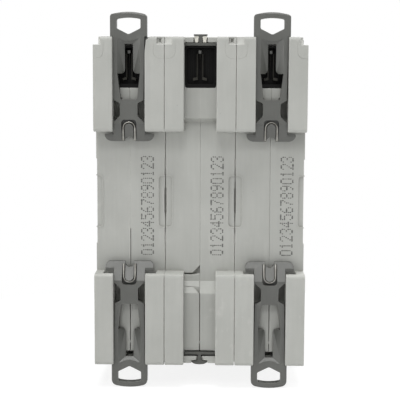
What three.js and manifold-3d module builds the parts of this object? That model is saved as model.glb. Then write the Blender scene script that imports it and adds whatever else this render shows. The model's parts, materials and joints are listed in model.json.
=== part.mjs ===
// A three-pole circuit breaker for a 35 mm rail, held by two latching clips at each end.
// Millimetres. X runs across the poles, Y from the toggles back to the rail, Z up to the line side.
// The origin is on the floor of the rail recess, at the seam of the middle pole.
// Poles 1, 2 and 3 run from left to right as seen from the toggles, so pole 3 is at +X.

import * as THREE from "three";
import { ConvexGeometry } from "three/addons/geometries/ConvexGeometry.js";
import { mergeVertices } from "three/addons/utils/BufferGeometryUtils.js";
import Module from "manifold-3d";

const wasm = await Module();
wasm.setup();

// ---- Driving sizes ----

// The pole and its case
const modulePitch = 17.7; // from pole to pole
const poleGap = 0.2; // air between two poles
const wall = 1.4; // side, end and front walls
const pivotSink = 0.2; // how far the bores for pins run into the side walls
const rearWall = 1.6; // behind the rail recess
const fit = 0.3; // air between neighbours that do not touch
const recessHeight = 35.6; // takes the 35 mm rail
const recessDepth = 6;
const bodyHeight = 82.5;
const shoulderDepth = 44; // recess floor to shoulder
const noseHeight = 45; // fits the 45 mm window of a panel cover
const noseDepth = 60; // recess floor to the nose
const edgeRound = 1; // rear edges of the blocks
const noseRound = 1.6;

// The channels that guide the rail clips, and what is cut beside them
const channelWidth = 8;
const channelFloor = 2; // its floor, behind the recess floor
const rampInset = 1.5; // recess end to the foot of the ramp
const rampLength = 2;
const grooveDepth = 0.85; // undercut on each side
const grooveHeight = 1.5;
const footPocketWidth = 13.2; // where the clip's feet go when it is pulled out
const footPocketHeight = 4.4;
const footPocketLength = 3.1;
const cornerNotchWidth = 1.8;
const cornerNotchHeight = 2;
const cornerNotchDepth = 2;
const scoopWidth = 1.4; // rounded corner beside one clip
const scoopHeight = 3.6;
const sideRelief = 0.2; // shallow relief between two poles
const sideReliefDepth = 20;
const sideReliefHalf = 10.8;
const seamPocketWidth = 1.6; // shallow pockets across the gap between poles
const seamPocketHalf = 6.5;
const seamPocketDepth = 0.35;

// The vent behind each line terminal
const ventWidth = 7.8;
const ventLength = 10.4;
const ventInset = 2.15; // body end to the vent
const ventWall = 0.6;
const ventDepth = 6.5;
const ventForkHalf = 1.25;
const ventForkRib = 0.6;
const ventForkTop = 1;

// The keys that close the channel ends of the middle pole
const keySlotDepth = 1.5;
const topKeyPlate = 0.83;
const bottomKeyPlate = 0.8;
const bottomKeySlot = 1.35;
const bottomKeyInset = 1.55; // body end to the slot
const keyStemWidth = 1.15;
const keyRise = 0.9; // above the channel floor
const keyEndWall = 1; // height of the wall behind the key
const topKeyHeadWidth = 3.5;
const topKeyHeadThick = 0.4;
const bottomKeyHeadWidth = 5;
const bottomKeyHeadThick = 1.2;
const bottomKeyRound = 0.95;
const keyProud = 0.7; // how far the heads stand past the body ends

// Terminals: a cage clamp that a captive screw draws towards the front
const terminalInset = 8.65; // body end to the screw's axis
const screwHeadRadius = 3.3;
const screwHeadThick = 2.4;
const screwSink = 1.3; // shoulder face to the head
const screwRadius = 2.4;
const screwSlot = 1;
const screwSlotDepth = 1.2;
const screwCross = 4.2; // the shorter bar of the driver recess
const screwLedge = 1;
const cageWidth = 11.2;
const cageLength = 9.2;
const cageWall = 1.2;
const cageNut = 1.8; // its threaded front wall
const cageTravel = 5.6;
const wireGap = 7; // between strap and cage, open
const wireHoleRadius = 4.2;
const strapThick = 1.2;
const strapWidth = 7.8;
const strapEndInset = 3.75; // body end to the strap's end

// Toggle and tie bar
const toggleDepth = 50; // recess floor to the toggle's axis
const toggleRadius = 9.7;
const toggleWidth = 8;
const togglePinRadius = 2.5;
const toggleReach = 19.5;
const toggleRootThick = 4.6;
const toggleTipThick = 3.2;
const toggleTipRound = 1.4;
const toggleRest = 35; // degrees below level when off
const windowHalf = 10.1;
const tieBarRadius = 1.2;
const tieBarReach = 14.6;
const tieBarOverhang = 0.4;

// Contacts and arc chute
const armPivotDepth = 33;
const armPivotHeight = -8;
const armPinRadius = 1.2;
const armThick = 2.6;
const armTipThick = 1.6;
const armShoulder = 9; // pivot to where the arm starts to thin
const armHub = 2.4;
const armWidth = 4.4;
const armSwing = 16; // degrees from open to closed
const contactWidth = 3;
const contactThick = 0.8;
const contactLength = 3;
const contactDepth = 12.7; // recess floor to the middle of the contacts
const contactHeight = 1; // where the fixed contact ends
const chuteDepth = 13.6;
const chuteBase = 6;
const chuteLength = 21;
const chutePlates = 5;
const chutePlateThick = 0.9;
const chuteCheek = 0.7;

// Coil and plunger
const coilDepth = 24; // recess floor to the coil's axis
const coilRadius = 5.6;
const coilBore = 3.2;
const coilBase = 5;
const coilFlange = 1.2;
const coilTurns = 3;
const coilTurnDepth = 0.7;
const plungerLength = 12;
const plungerTravel = 2.5;
const plungerPinRadius = 0.9;
const plungerPinLength = 6;

// Trip bar and bimetal
const tripDepth = 40;
const tripHeight = -14;
const tripBarRadius = 1.8;
const tripTail = 13;
const tripTailThick = 1.6;
const tripLeg = 5.4;
const tripLeverThick = 2;
const tripLeverInset = 1.5;
const bimetalThick = 1;
const bimetalLevel = 19.5;
const bimetalEnd = 38.2;
const strapTurn = 10.2;

// Rivets through the three poles
const rivetRadius = 1.6;
const rivetHeadRadius = 2.7;
const rivetHeadThick = 0.6;
const rivetBossWall = 1;
const rearRivetDepth = 12;
const rearRivetHeight = 34;
const frontRivetDepth = 53.5;
const frontRivetHeight = 17;

// Rail clips, each a strip with a pull loop outside and a spreading foot on the rail
const clipFaceWidth = 7.8;
const clipFlangeWidth = 9;
const clipFlangeThick = 0.9;
const clipLoopWidth = 9;
const clipThick = 2.1;
const clipFloorGap = 0.3; // above the channel floor
const footWidth = 12.6;
const footReach = 2.7; // past the recess end, over the rail's edge
const footLength = 2.1;
const footFront = 1.25; // clears a 1 mm rail
const footThick = 2.05;
const footFlat = 0.6; // straight side of each foot
const neckWidth = 4.7;
const neckStart = 2.5; // from the recess end
const neckLength = 5.3;
const neckLead = 2.5; // how long each curve into the neck is
const windowStart = 8.6;
const windowLength = 5.8;
const windowEndWidth = 5.6;
const windowFootWidth = 4.3;
const stemWidth = 2.1;
const stemInset = 2.15; // from the body end
const stemFlare = 0.7;
const panWidth = 5.7;
const panInset = 0.8;
const panDepth = 1;
const loopReach = 6.05; // past the body end
const loopBar = 1.55;
const loopSide = 1.65;
const loopApex = 0.5;
const loopShoulder = 2;
const loopCrown = 0.6;
const loopCorner = 0.5;
const holeCrown = 0.4;
const forkWidth = 4;
const forkTop = 3.1;
const forkFloor = 2.9; // measured from the recess floor
const tongueWidth = 2.1;
const tongueRise = 0.6;
const wireDiameter = 0.45;
const wireSpread = 3;
const wireEndInset = 0.5;

// How finely round shapes are cut
const smallFacets = 8;
const bigFacets = 24;
const barrelFacets = 28;
const cornerFacets = 2;
const wireSteps = 16;
const weld = 1e-4; // corners closer than this are one

// ---- Worked out from the sizes ----

const halfPole = (modulePitch - poleGap) / 2;
const inner = halfPole - wall;
const pinEnd = inner - fit;
const recessEnd = recessHeight / 2;
const bodyEnd = bodyHeight / 2;
const cavityEnd = bodyEnd - wall;
const noseEnd = noseHeight / 2;
const channelHalf = channelWidth / 2;
const beyond = 1; // how far a cutter runs past what it cuts
const terminalHeight = bodyEnd - terminalInset;
const screwTop = -shoulderDepth + screwSink;
const screwSeat = screwTop + screwHeadThick;
const ledgeEnd = screwSeat + fit + screwLedge;
const cageFront = ledgeEnd + fit + cageTravel;
const strapFront = cageFront + cageNut + fit;
const strapRear = strapFront + strapThick;
const cageRear = strapRear + wireGap;
const cageMiddle = (strapRear + cageRear) / 2;
const cageHalf = cageWidth / 2;
const strapBend = cavityEnd - terminalInset - cageLength / 2 - 2 * strapThick;
const coilTop = strapBend - fit;
const ventEnd = bodyEnd - ventInset;
const ventStart = ventEnd - ventLength;
const rampStart = recessEnd + rampInset;
const rampEnd = rampStart + rampLength;
const clipFront = channelFloor + clipFloorGap;
const clipRear = clipFront + clipThick;

// ---- Solids from closed geometry ----

function solid(geometry) {
  const bare = geometry.index ? geometry.toNonIndexed() : geometry.clone();
  bare.deleteAttribute("normal");
  bare.deleteAttribute("uv");
  const merged = mergeVertices(bare, weld);
  const vertProperties = new Float32Array(merged.attributes.position.array);
  const triVerts = new Uint32Array(merged.index.array);
  return new wasm.Manifold(new wasm.Mesh({ numProp: 3, vertProperties, triVerts }));
}

function geometryOf(body) {
  const { numProp, vertProperties, triVerts } = body.getMesh();
  const count = vertProperties.length / numProp;
  const positions = new Float32Array(count * 3);
  for (let i = 0; i < count; i++) {
    positions.set(vertProperties.subarray(i * numProp, i * numProp + 3), i * 3);
  }
  const geometry = new THREE.BufferGeometry();
  geometry.setAttribute("position", new THREE.BufferAttribute(positions, 3));
  geometry.setIndex(new THREE.BufferAttribute(new Uint32Array(triVerts), 1));
  const faceted = geometry.toNonIndexed();
  faceted.computeVertexNormals();
  return faceted;
}

const join = (first, ...others) => others.reduce((sum, body) => sum.add(body), first);
const cut = (first, ...others) => others.reduce((rest, body) => rest.subtract(body), first);

// A box between two planes on each axis, named in either order. The corners are set, not worked out
// from a centre, so that two boxes named by the same planes meet exactly.
function box(x0, x1, y0, y1, z0, z1) {
  const geometry = new THREE.BoxGeometry();
  const corner = geometry.attributes.position;
  const side = (place, a, b) => (place > 0 ? Math.max(a, b) : Math.min(a, b));
  for (let i = 0; i < corner.count; i++) {
    const x = side(corner.getX(i), x0, x1);
    const y = side(corner.getY(i), y0, y1);
    corner.setXYZ(i, x, y, side(corner.getZ(i), z0, z1));
  }
  return solid(geometry);
}

// An outline, as points or as a THREE.Shape, pushed along one axis.
function prism(outline, from, to, basis, curveSegments = cornerFacets) {
  const shape = outline instanceof THREE.Shape ? outline : shapeOf(outline);
  const geometry = new THREE.ExtrudeGeometry(shape, { depth: 1, bevelEnabled: false, curveSegments });
  const corner = geometry.attributes.position;
  for (let i = 0; i < corner.count; i++) corner.setZ(i, corner.getZ(i) > 0 ? to : from);
  geometry.applyMatrix4(basis);
  return solid(geometry);
}

const shapeOf = (points) => new THREE.Shape(points.map(([a, b]) => new THREE.Vector2(a, b)));
const xAxis = new THREE.Vector3(1, 0, 0);
const yAxis = new THREE.Vector3(0, 1, 0);
const zAxis = new THREE.Vector3(0, 0, 1);
const alongX = new THREE.Matrix4().makeBasis(yAxis, zAxis, xAxis);
const alongY = new THREE.Matrix4().makeBasis(xAxis, zAxis, yAxis.clone().negate());

const prismX = (outline, x0, x1) => prism(outline, x0, x1, alongX); // outline in y, z
const prismY = (outline, y0, y1) => prism(outline, -y1, -y0, alongY); // outline in x, z

// Points along a smooth bend between two points, pulled towards a corner.
function bend(start, corner, end, steps = 3) {
  const points = [start, corner, end].map(([a, b]) => new THREE.Vector2(a, b));
  return new THREE.QuadraticBezierCurve(...points).getPoints(steps).map(({ x, y }) => [x, y]);
}

function rodX(radius, y, z, x0, x1, facets = smallFacets) {
  const geometry = new THREE.CylinderGeometry(radius, radius, Math.abs(x1 - x0), facets);
  geometry.rotateZ(-Math.PI / 2);
  geometry.translate((x0 + x1) / 2, y, z);
  return solid(geometry);
}

function rodY(radius, x, z, y0, y1, facets = smallFacets) {
  const geometry = new THREE.CylinderGeometry(radius, radius, Math.abs(y1 - y0), facets);
  geometry.translate(x, (y0 + y1) / 2, z);
  return solid(geometry);
}

function rodZ(radius, x, y, z0, z1, facets = smallFacets) {
  const geometry = new THREE.CylinderGeometry(radius, radius, Math.abs(z1 - z0), facets);
  geometry.rotateX(Math.PI / 2);
  geometry.translate(x, y, (z0 + z1) / 2);
  return solid(geometry);
}

const hull = (points) => solid(new ConvexGeometry(points.map((p) => new THREE.Vector3(...p))));

// A closed outline whose corners [a, b, radius] are rounded with arcs.
function roundedShape(corners) {
  const shape = new THREE.Shape();
  corners.forEach(([a, b, radius = 0], i) => {
    const here = new THREE.Vector2(a, b);
    const last = new THREE.Vector2(...corners.at(i - 1).slice(0, 2));
    const next = new THREE.Vector2(...corners[(i + 1) % corners.length].slice(0, 2));
    const entry = here.clone().add(last.sub(here).setLength(radius));
    const exit = here.clone().add(next.sub(here).setLength(radius));
    if (i === 0) shape.moveTo(entry.x, entry.y);
    else shape.lineTo(entry.x, entry.y);
    if (radius) shape.quadraticCurveTo(here.x, here.y, exit.x, exit.y);
  });
  return shape;
}

// Both halves of a symmetric outline, from the points of its +x half.
const mirrored = (half) => [...half, ...half.filter(([x]) => x).map(([x, z]) => [-x, z]).reverse()];

const material = (color, roughness, metalness = 0) =>
  new THREE.MeshStandardMaterial({ color, roughness, metalness });

const materials = {
  case: material("#b2b2ac", 0.62),
  clip: material("#63635f", 0.5),
  black: material("#1c1c1a", 0.6),
  toggle: material("#2f3338", 0.45),
  steel: material("#b9bcbe", 0.35, 0.9),
  zinc: material("#c9c8bd", 0.4, 0.85),
  copper: material("#b8754a", 0.35, 0.95),
  bimetal: material("#9c9a8c", 0.4, 0.9),
  fibre: material("#9c6b4a", 0.8),
};

function piece(name, body, look) {
  const mesh = new THREE.Mesh(geometryOf(body), materials[look]);
  mesh.name = name;
  return mesh;
}

// ---- The case: two half shells to a pole ----

const caseOutline = roundedShape([
  [0, recessEnd],
  [recessDepth, recessEnd, edgeRound],
  [recessDepth, bodyEnd, edgeRound],
  [-shoulderDepth, bodyEnd, edgeRound],
  [-shoulderDepth, noseEnd],
  [-noseDepth, noseEnd, noseRound],
  [-noseDepth, -noseEnd, noseRound],
  [-shoulderDepth, -noseEnd],
  [-shoulderDepth, -bodyEnd, edgeRound],
  [recessDepth, -bodyEnd, edgeRound],
  [recessDepth, -recessEnd, edgeRound],
  [0, -recessEnd],
]);

const cavityOutline = [
  [-rearWall, cavityEnd],
  [-shoulderDepth + wall, cavityEnd],
  [-shoulderDepth + wall, noseEnd - wall],
  [-noseDepth + wall, noseEnd - wall],
  [-noseDepth + wall, -noseEnd + wall],
  [-shoulderDepth + wall, -noseEnd + wall],
  [-shoulderDepth + wall, -cavityEnd],
  [-rearWall, -cavityEnd],
];

const rivetPlaces = [
  [-rearRivetDepth, rearRivetHeight],
  [-rearRivetDepth, -rearRivetHeight],
  [-frontRivetDepth, frontRivetHeight],
  [-frontRivetDepth, -frontRivetHeight],
];

const pivots = [
  { y: -toggleDepth, z: 0, radius: togglePinRadius },
  { y: -armPivotDepth, z: armPivotHeight, radius: armPinRadius },
];

// Seats inside one half shell, on its +X side: guides, screw wells, pivot bosses and rivet tubes.
function caseSeats() {
  const guideStart = terminalHeight - cageLength / 2;
  const guideEnd = terminalHeight + cageLength / 2;
  const seats = [];
  for (const end of [1, -1]) {
    const sunk = inner + wall / 2;
    const [low, high] = [end * guideStart, end * guideEnd];
    seats.push(box(cageHalf + fit, sunk, ledgeEnd - fit, cageRear + cageWall, low, high));
    seats.push(box(0, sunk, -shoulderDepth + wall / 2, ledgeEnd, low, high));
  }
  for (const { y, z, radius } of pivots) {
    seats.push(rodX(radius + fit + wall, y, z, inner - 2 * wall, inner + wall / 2));
  }
  for (const [y, z] of rivetPlaces) {
    seats.push(rodX(rivetRadius + fit + rivetBossWall, y, z, 0, inner + wall / 2));
  }
  return seats;
}

// Holes in one half shell, on its +X side.
function caseHoles(isOutside) {
  const holes = [];
  for (const end of [1, -1]) {
    const [entry, tip] = [end * (cavityEnd - beyond), end * (bodyEnd + beyond)];
    holes.push(rodZ(wireHoleRadius, 0, cageMiddle, entry, tip, bigFacets));
    const height = end * terminalHeight;
    const wellRadius = screwHeadRadius + fit;
    holes.push(rodY(wellRadius, 0, height, -shoulderDepth - beyond, screwSeat + fit, bigFacets));
    holes.push(rodY(screwRadius + fit, 0, height, screwSeat, ledgeEnd + beyond));
  }
  for (const { y, z, radius } of pivots) {
    holes.push(rodX(radius + fit, y, z, inner - 3 * wall, inner + pivotSink));
  }
  for (const [y, z] of rivetPlaces) {
    holes.push(rodX(rivetRadius + fit, y, z, -beyond, halfPole + beyond));
    if (isOutside) {
      const depth = rivetHeadThick + poleGap;
      holes.push(rodX(rivetHeadRadius + fit, y, z, halfPole - depth, halfPole + beyond, bigFacets));
    }
  }
  if (!isOutside) {
    holes.push(rodX(tripBarRadius + fit, -tripDepth, tripHeight, inner - beyond, halfPole + beyond));
  }
  const windowSide = toggleWidth / 2 + fit;
  holes.push(box(-beyond, windowSide, -noseDepth - beyond, -noseDepth + 2 * wall, -windowHalf, windowHalf));
  holes.push(box(-beyond, ventWidth / 2, -rearWall - beyond, recessDepth, ventStart, ventEnd));
  return holes;
}

// What is cut into the back of one half shell beside its channels, on its +X side.
function backCuts(isMiddle) {
  const cuts = [];
  const grooveHalf = channelHalf + grooveDepth;
  const back = recessDepth + beyond;
  for (const end of [1, -1]) {
    const past = end * (bodyEnd + beyond);
    const stop = isMiddle ? end * (bodyEnd - (end > 0 ? ventInset - topKeyPlate : bottomKeyInset)) : past;
    const profile = [
      [0, end * (recessEnd - beyond)],
      [0, end * rampStart],
      [channelFloor, end * rampEnd],
      [channelFloor, stop],
      [back, stop],
      [back, end * (recessEnd - beyond)],
    ];
    cuts.push(prismX(profile, -beyond, channelHalf));
    const grooveTop = channelFloor + grooveHeight;
    cuts.push(box(0, grooveHalf, channelFloor, grooveTop, end * rampEnd, stop));
    if (isMiddle) {
      const wallTop = channelFloor + keyEndWall;
      cuts.push(box(-beyond, channelHalf, wallTop, back, stop, past));
    } else {
      const pocketStart = end * (recessEnd - beyond);
      const pocketEnd = end * (recessEnd + footPocketLength);
      cuts.push(box(-beyond, footPocketWidth / 2, 0, footPocketHeight, pocketStart, pocketEnd));
    }
    const slotInset = end > 0 ? ventInset - topKeyPlate : bottomKeyInset;
    const slotLength = end > 0 ? topKeyPlate : bottomKeySlot;
    const slotEnd = end * (bodyEnd - slotInset);
    const slotStart = slotEnd - end * slotLength;
    const slotFloor = channelFloor - keySlotDepth;
    cuts.push(box(-beyond, channelHalf, slotFloor, channelFloor + beyond, slotStart, slotEnd));
  }
  const notchX = halfPole - cornerNotchWidth;
  const notchY = recessDepth - cornerNotchDepth;
  cuts.push(box(notchX, halfPole + beyond, notchY, back, bodyEnd - cornerNotchHeight, bodyEnd + beyond));
  const reliefX = halfPole - sideRelief;
  cuts.push(box(reliefX, halfPole + beyond, -sideReliefDepth, beyond, -sideReliefHalf, sideReliefHalf));
  const pocketX = halfPole - seamPocketWidth;
  cuts.push(box(pocketX, halfPole + beyond, -seamPocketDepth, beyond, -seamPocketHalf, seamPocketHalf));
  return cuts;
}

// The notches that the keys' stems lie in, across the seam of the middle pole.
function keyNotches() {
  const floor = channelFloor;
  const top = channelFloor + keyEndWall + beyond;
  const topHalf = topKeyHeadWidth / 2;
  const topEnd = bodyEnd - ventInset;
  const bottomHalf = bottomKeyHeadWidth / 2 + fit;
  const headFoot = bodyEnd + keyProud - bottomKeyHeadThick - fit;
  const stemHalf = keyStemWidth / 2 + fit;
  return [
    box(-topHalf, topHalf, floor, top, topEnd, bodyEnd + beyond),
    box(-bottomHalf, bottomHalf, floor, top, -bodyEnd - beyond, -headFoot),
    box(-stemHalf, stemHalf, floor, top, -bodyEnd - beyond, -bodyEnd + bottomKeyInset + beyond),
  ];
}

// A panel let into the lower channel end of the middle pole, with one corner cut off at the seam.
function channelPanel() {
  const start = -recessEnd - fit;
  const corner = channelHalf / 3;
  const end = -rampEnd;
  const outline = [
    [channelHalf, start],
    [channelHalf - corner, start],
    [0, start + channelHalf - corner],
    [0, start],
    [0, end],
    [channelHalf, end],
  ];
  const rampFoot = -rampStart;
  const side = [
    [-fit, start + channelHalf],
    [-fit, rampFoot],
    [channelFloor - fit, end],
    [recessDepth, end],
    [recessDepth, start + channelHalf],
  ];
  return prismY(outline, -fit - beyond, recessDepth).intersect(prismX(side, -beyond, channelHalf + beyond));
}

function scoop() {
  const edge = channelHalf - beyond / 2;
  const top = bodyEnd + beyond / 2;
  const span = scoopWidth + beyond / 2;
  const rise = scoopHeight + beyond / 2;
  const shape = new THREE.Shape();
  shape.moveTo(edge, top);
  shape.lineTo(edge + span + beyond, top);
  shape.lineTo(channelHalf + scoopWidth, bodyEnd);
  shape.quadraticCurveTo(channelHalf, bodyEnd, channelHalf, top - rise);
  shape.lineTo(edge, top - rise);
  return prismY(shape, channelFloor + grooveHeight, recessDepth + beyond);
}

function halfShell(pole, side) {
  const isMiddle = pole === 2;
  const isOutside = side * (pole - 2) > 0;
  const shell = prismX(caseOutline, 0, halfPole);
  const cavity = prismX(cavityOutline, -beyond, inner);
  let body = join(cut(shell, cavity), ...caseSeats());
  if (isOutside) {
    const radius = tripBarRadius + fit;
    const ring = rodX(radius + wall, -tripDepth, tripHeight, inner - wall, inner + wall / 2);
    const bore = rodX(radius, -tripDepth, tripHeight, inner - 2 * wall, inner + pivotSink);
    body = cut(join(body, ring), bore);
  }
  body = cut(body, ...caseHoles(isOutside), ...backCuts(isMiddle));
  if (isMiddle) body = cut(body, ...keyNotches());
  if (isMiddle && side > 0) body = cut(body, channelPanel());
  if (pole === 3 && side < 0) body = cut(body, scoop());
  return side > 0 ? body : body.mirror([1, 0, 0]);
}

// ---- Behind the line terminal: the black vent with its forked rib ----

function vent() {
  const half = ventWidth / 2;
  const rear = channelFloor - fit;
  const front = rear - ventDepth;
  const cup = box(-half, half, front, rear, ventStart, ventEnd);
  const inside = half - ventWall;
  const [low, high] = [ventStart + ventWall, ventEnd - ventWall];
  const hollow = box(-inside, inside, front + ventWall, rear + beyond, low, high);
  const forkEnd = high - ventForkTop;
  const forkFoot = low + ventForkTop;
  const forkRear = rear - ventWall;
  const legs = [1, -1].flatMap((side) => {
    const near = side * (ventForkHalf - ventForkRib);
    const far = side * ventForkHalf;
    const toe = side * (ventForkHalf + ventForkTop);
    return [
      box(near, far, front, forkRear, forkFoot, forkEnd),
      box(near, toe, front, forkRear, forkFoot - ventForkRib, forkFoot),
    ];
  });
  const bridge = box(-ventForkHalf, ventForkHalf, front, forkRear, forkEnd, forkEnd + ventForkRib);
  return join(cut(cup, hollow), ...legs, bridge);
}

// ---- The keys in the ends of the middle channels ----

function topKey() {
  const low = channelFloor - keySlotDepth;
  const top = channelFloor + keyRise;
  const plateStart = bodyEnd - ventInset;
  const plateEnd = plateStart + topKeyPlate;
  const head = bodyEnd + keyProud;
  const stem = keyStemWidth / 2;
  const headHalf = topKeyHeadWidth / 2;
  return join(
    box(-channelHalf, channelHalf, low, top, plateStart, plateEnd),
    box(-stem, stem, channelFloor + fit, top, plateStart, head),
    box(-headHalf, headHalf, channelFloor + fit, top, head - topKeyHeadThick, head),
  );
}

function bottomKey() {
  const low = channelFloor - keySlotDepth + fit;
  const top = channelFloor + keyRise;
  const plateMiddle = bodyEnd - bottomKeyInset - bottomKeySlot / 2;
  const plate = bottomKeyPlate / 2;
  const head = bodyEnd + keyProud;
  const stem = keyStemWidth / 2;
  const half = bottomKeyHeadWidth / 2;
  const headFoot = head - bottomKeyHeadThick;
  const plateHalf = channelHalf - fit / 2;
  const mushroom = roundedShape([
    [-half, -headFoot],
    [-half, -head, bottomKeyRound],
    [half, -head, bottomKeyRound],
    [half, -headFoot],
  ]);
  return join(
    box(-plateHalf, plateHalf, low, top, -plateMiddle - plate, -plateMiddle + plate),
    box(-stem, stem, channelFloor + fit, top, -head, -plateMiddle),
    prismY(mushroom, channelFloor + fit, top),
  );
}

// ---- Rail clips ----

// A top clip, at rest on the rail. A bottom clip is the same piece turned over.
function railClip() {
  const face = clipFaceWidth / 2;
  const loop = clipLoopWidth / 2;
  const neck = neckWidth / 2;
  const foot = footWidth / 2;
  const footEnd = recessEnd - footReach;
  const footTop = footEnd + footLength;
  const loopEnd = bodyEnd + loopReach;
  const neckLow = recessEnd + neckStart;
  const neckHigh = neckLow + neckLength;
  const shoulderStart = bodyEnd + fit;
  const planHalf = [
    [face, footEnd],
    [face, neckLow],
    ...bend([face, neckLow], [neck, neckLow + neckLead / 2], [neck, neckLow + neckLead]).slice(1),
    ...bend([neck, neckHigh - neckLead / 2], [neck, neckHigh], [face, neckHigh]),
    [face, shoulderStart],
    [loop, shoulderStart + loop - face],
    [loop, loopEnd - loopCrown - loopCorner],
    [loop - loopCorner, loopEnd - loopCrown],
    [loop / 2, loopEnd - loopCrown / 4],
    [0, loopEnd],
  ];
  const side = [
    [footFront, footEnd],
    [footFront + footThick, footEnd],
    [footFront + footThick, footTop],
    [clipRear, recessEnd + forkTop],
    [clipRear, loopEnd + beyond],
    [clipFront, loopEnd + beyond],
    [clipFront, recessEnd + fit * 2],
    [footFront, recessEnd - fit * 2],
  ];
  const plan = prismY(mirrored(planHalf), 0, clipRear + beyond);
  const strip = plan.intersect(prismX(side, -loop, loop));
  const feet = prismY(
    mirrored([
      ...bend([face, footEnd], [foot, footEnd], [foot, footTop - footFlat]),
      [foot, footTop],
      [0, footTop],
    ]),
    footFront,
    footFront + footThick,
  );
  const flangeHalf = clipFlangeWidth / 2;
  const flangeTop = clipFront + clipFlangeThick;
  const flange = box(-flangeHalf, flangeHalf, clipFront, flangeTop, neckHigh, shoulderStart);
  const footBar = box(-face, face, footFront, footFront + footThick, footEnd, footTop);

  // The window: a stem that flares into a trapezoid, seen through to the case
  const windowLow = recessEnd + windowStart;
  const windowHigh = windowLow + windowLength;
  const stemEnd = bodyEnd - stemInset;
  const stem = stemWidth / 2;
  const window = prismY(
    mirrored([
      [windowFootWidth / 2, windowLow],
      [windowEndWidth / 2, windowHigh],
      [stem + stemFlare, windowHigh],
      [stem, windowHigh + stemFlare],
      [stem, stemEnd],
    ]),
    -beyond,
    clipRear + beyond,
  );

  // The pan that slopes down to the stem
  const panHalf = panWidth / 2;
  const panEnd = bodyEnd - panInset;
  const panFloor = clipRear - panDepth;
  const rear = clipRear + fit;
  const pan = hull([
    [-panHalf, rear, windowHigh],
    [panHalf, rear, windowHigh],
    [-panHalf, rear, panEnd],
    [panHalf, rear, panEnd],
    [-panHalf, clipRear - panDepth / 3, windowHigh],
    [panHalf, clipRear - panDepth / 3, windowHigh],
    [-stem, panFloor, windowHigh],
    [stem, panFloor, windowHigh],
    [-stem, panFloor, stemEnd],
    [stem, panFloor, stemEnd],
  ]);

  // The hole in the pull loop
  const holeHalf = loop - loopSide;
  const holeEnd = loopEnd - loopBar;
  const hole = prismY(
    mirrored([
      [0, bodyEnd + loopApex],
      [holeHalf, bodyEnd + loopShoulder],
      [holeHalf, holeEnd - holeCrown],
      [0, holeEnd],
    ]),
    -beyond,
    clipRear + beyond,
  );

  // The fork round the wire, and the tongue inside it
  const fork = forkWidth / 2;
  const arch = new THREE.Shape();
  arch.moveTo(-fork, footEnd - beyond);
  arch.lineTo(fork, footEnd - beyond);
  arch.lineTo(fork, recessEnd + forkTop - fork);
  arch.absarc(0, recessEnd + forkTop - fork, fork, 0, Math.PI, false);
  arch.lineTo(-fork, footEnd - beyond);
  const pocket = prismY(arch, forkFloor, clipRear + beyond);
  const gap = box(-fork, fork, 0, clipRear + beyond, footEnd - beyond, footTop - fit);
  const tongue = tongueWidth / 2;
  const tongueEnd = recessEnd + forkTop - fork;
  const tongueRear = forkFloor + tongueRise;
  const tongueBody = box(-tongue, tongue, forkFloor - fit, tongueRear, footTop - fit, tongueEnd);

  const whole = cut(join(strip, feet, flange, footBar), window, pan, hole, pocket, gap);
  return join(whole, tongueBody);
}

// A bent wire that lies in the fork, between the clip's feet.
function clipWire() {
  const half = wireSpread / 2;
  const level = forkFloor + fit + wireDiameter / 2;
  const crown = recessEnd + forkTop - forkWidth / 2;
  const end = recessEnd - footReach + wireEndInset;
  const path = new THREE.CurvePath();
  const corner = (x, z) => new THREE.Vector3(x, level, z);
  path.add(new THREE.LineCurve3(corner(half, end), corner(half, crown)));
  const turns = 2 * cornerFacets;
  const onArc = (i) => {
    const angle = (Math.PI * i) / turns;
    return corner(half * Math.cos(angle), crown + half * Math.sin(angle));
  };
  for (let i = 0; i < turns; i++) path.add(new THREE.LineCurve3(onArc(i), onArc(i + 1)));
  path.add(new THREE.LineCurve3(corner(-half, crown), corner(-half, end)));
  const section = new THREE.Shape();
  section.absarc(0, 0, wireDiameter / 2, 0, 2 * Math.PI, false);
  const geometry = new THREE.ExtrudeGeometry(section, {
    steps: wireSteps,
    extrudePath: path,
    curveSegments: cornerFacets,
  });
  return solid(geometry);
}

// ---- Terminals ----

const terminalX = cageHalf - cageWall;

function cage(end) {
  const low = terminalHeight - cageLength / 2;
  const high = terminalHeight + cageLength / 2;
  const body = box(-cageHalf, cageHalf, cageFront, cageRear + cageWall, end * low, end * high);
  const [start, stop] = [end * (low - beyond), end * (high + beyond)];
  const nutEnd = cageFront + cageNut;
  const opening = box(-terminalX, terminalX, nutEnd, cageRear, start, stop);
  const bore = rodY(screwRadius + fit, 0, end * terminalHeight, cageFront - beyond, nutEnd + beyond);
  return cut(body, opening, bore);
}

function screw(end) {
  const height = end * terminalHeight;
  const head = rodY(screwHeadRadius, 0, height, screwTop, screwSeat, bigFacets);
  const shank = rodY(screwRadius, 0, height, screwTop + screwHeadThick / 2, strapFront - fit);
  const reach = screwHeadRadius + beyond;
  const half = screwSlot / 2;
  const depth = screwTop + screwSlotDepth;
  const slot = box(-reach, reach, screwTop - beyond, depth, height - half, height + half);
  const short = screwCross / 2;
  const cross = box(-half, half, screwTop - beyond, depth, height - short, height + short);
  return cut(join(head, shank), slot, cross);
}

// ---- Current path ----

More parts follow.
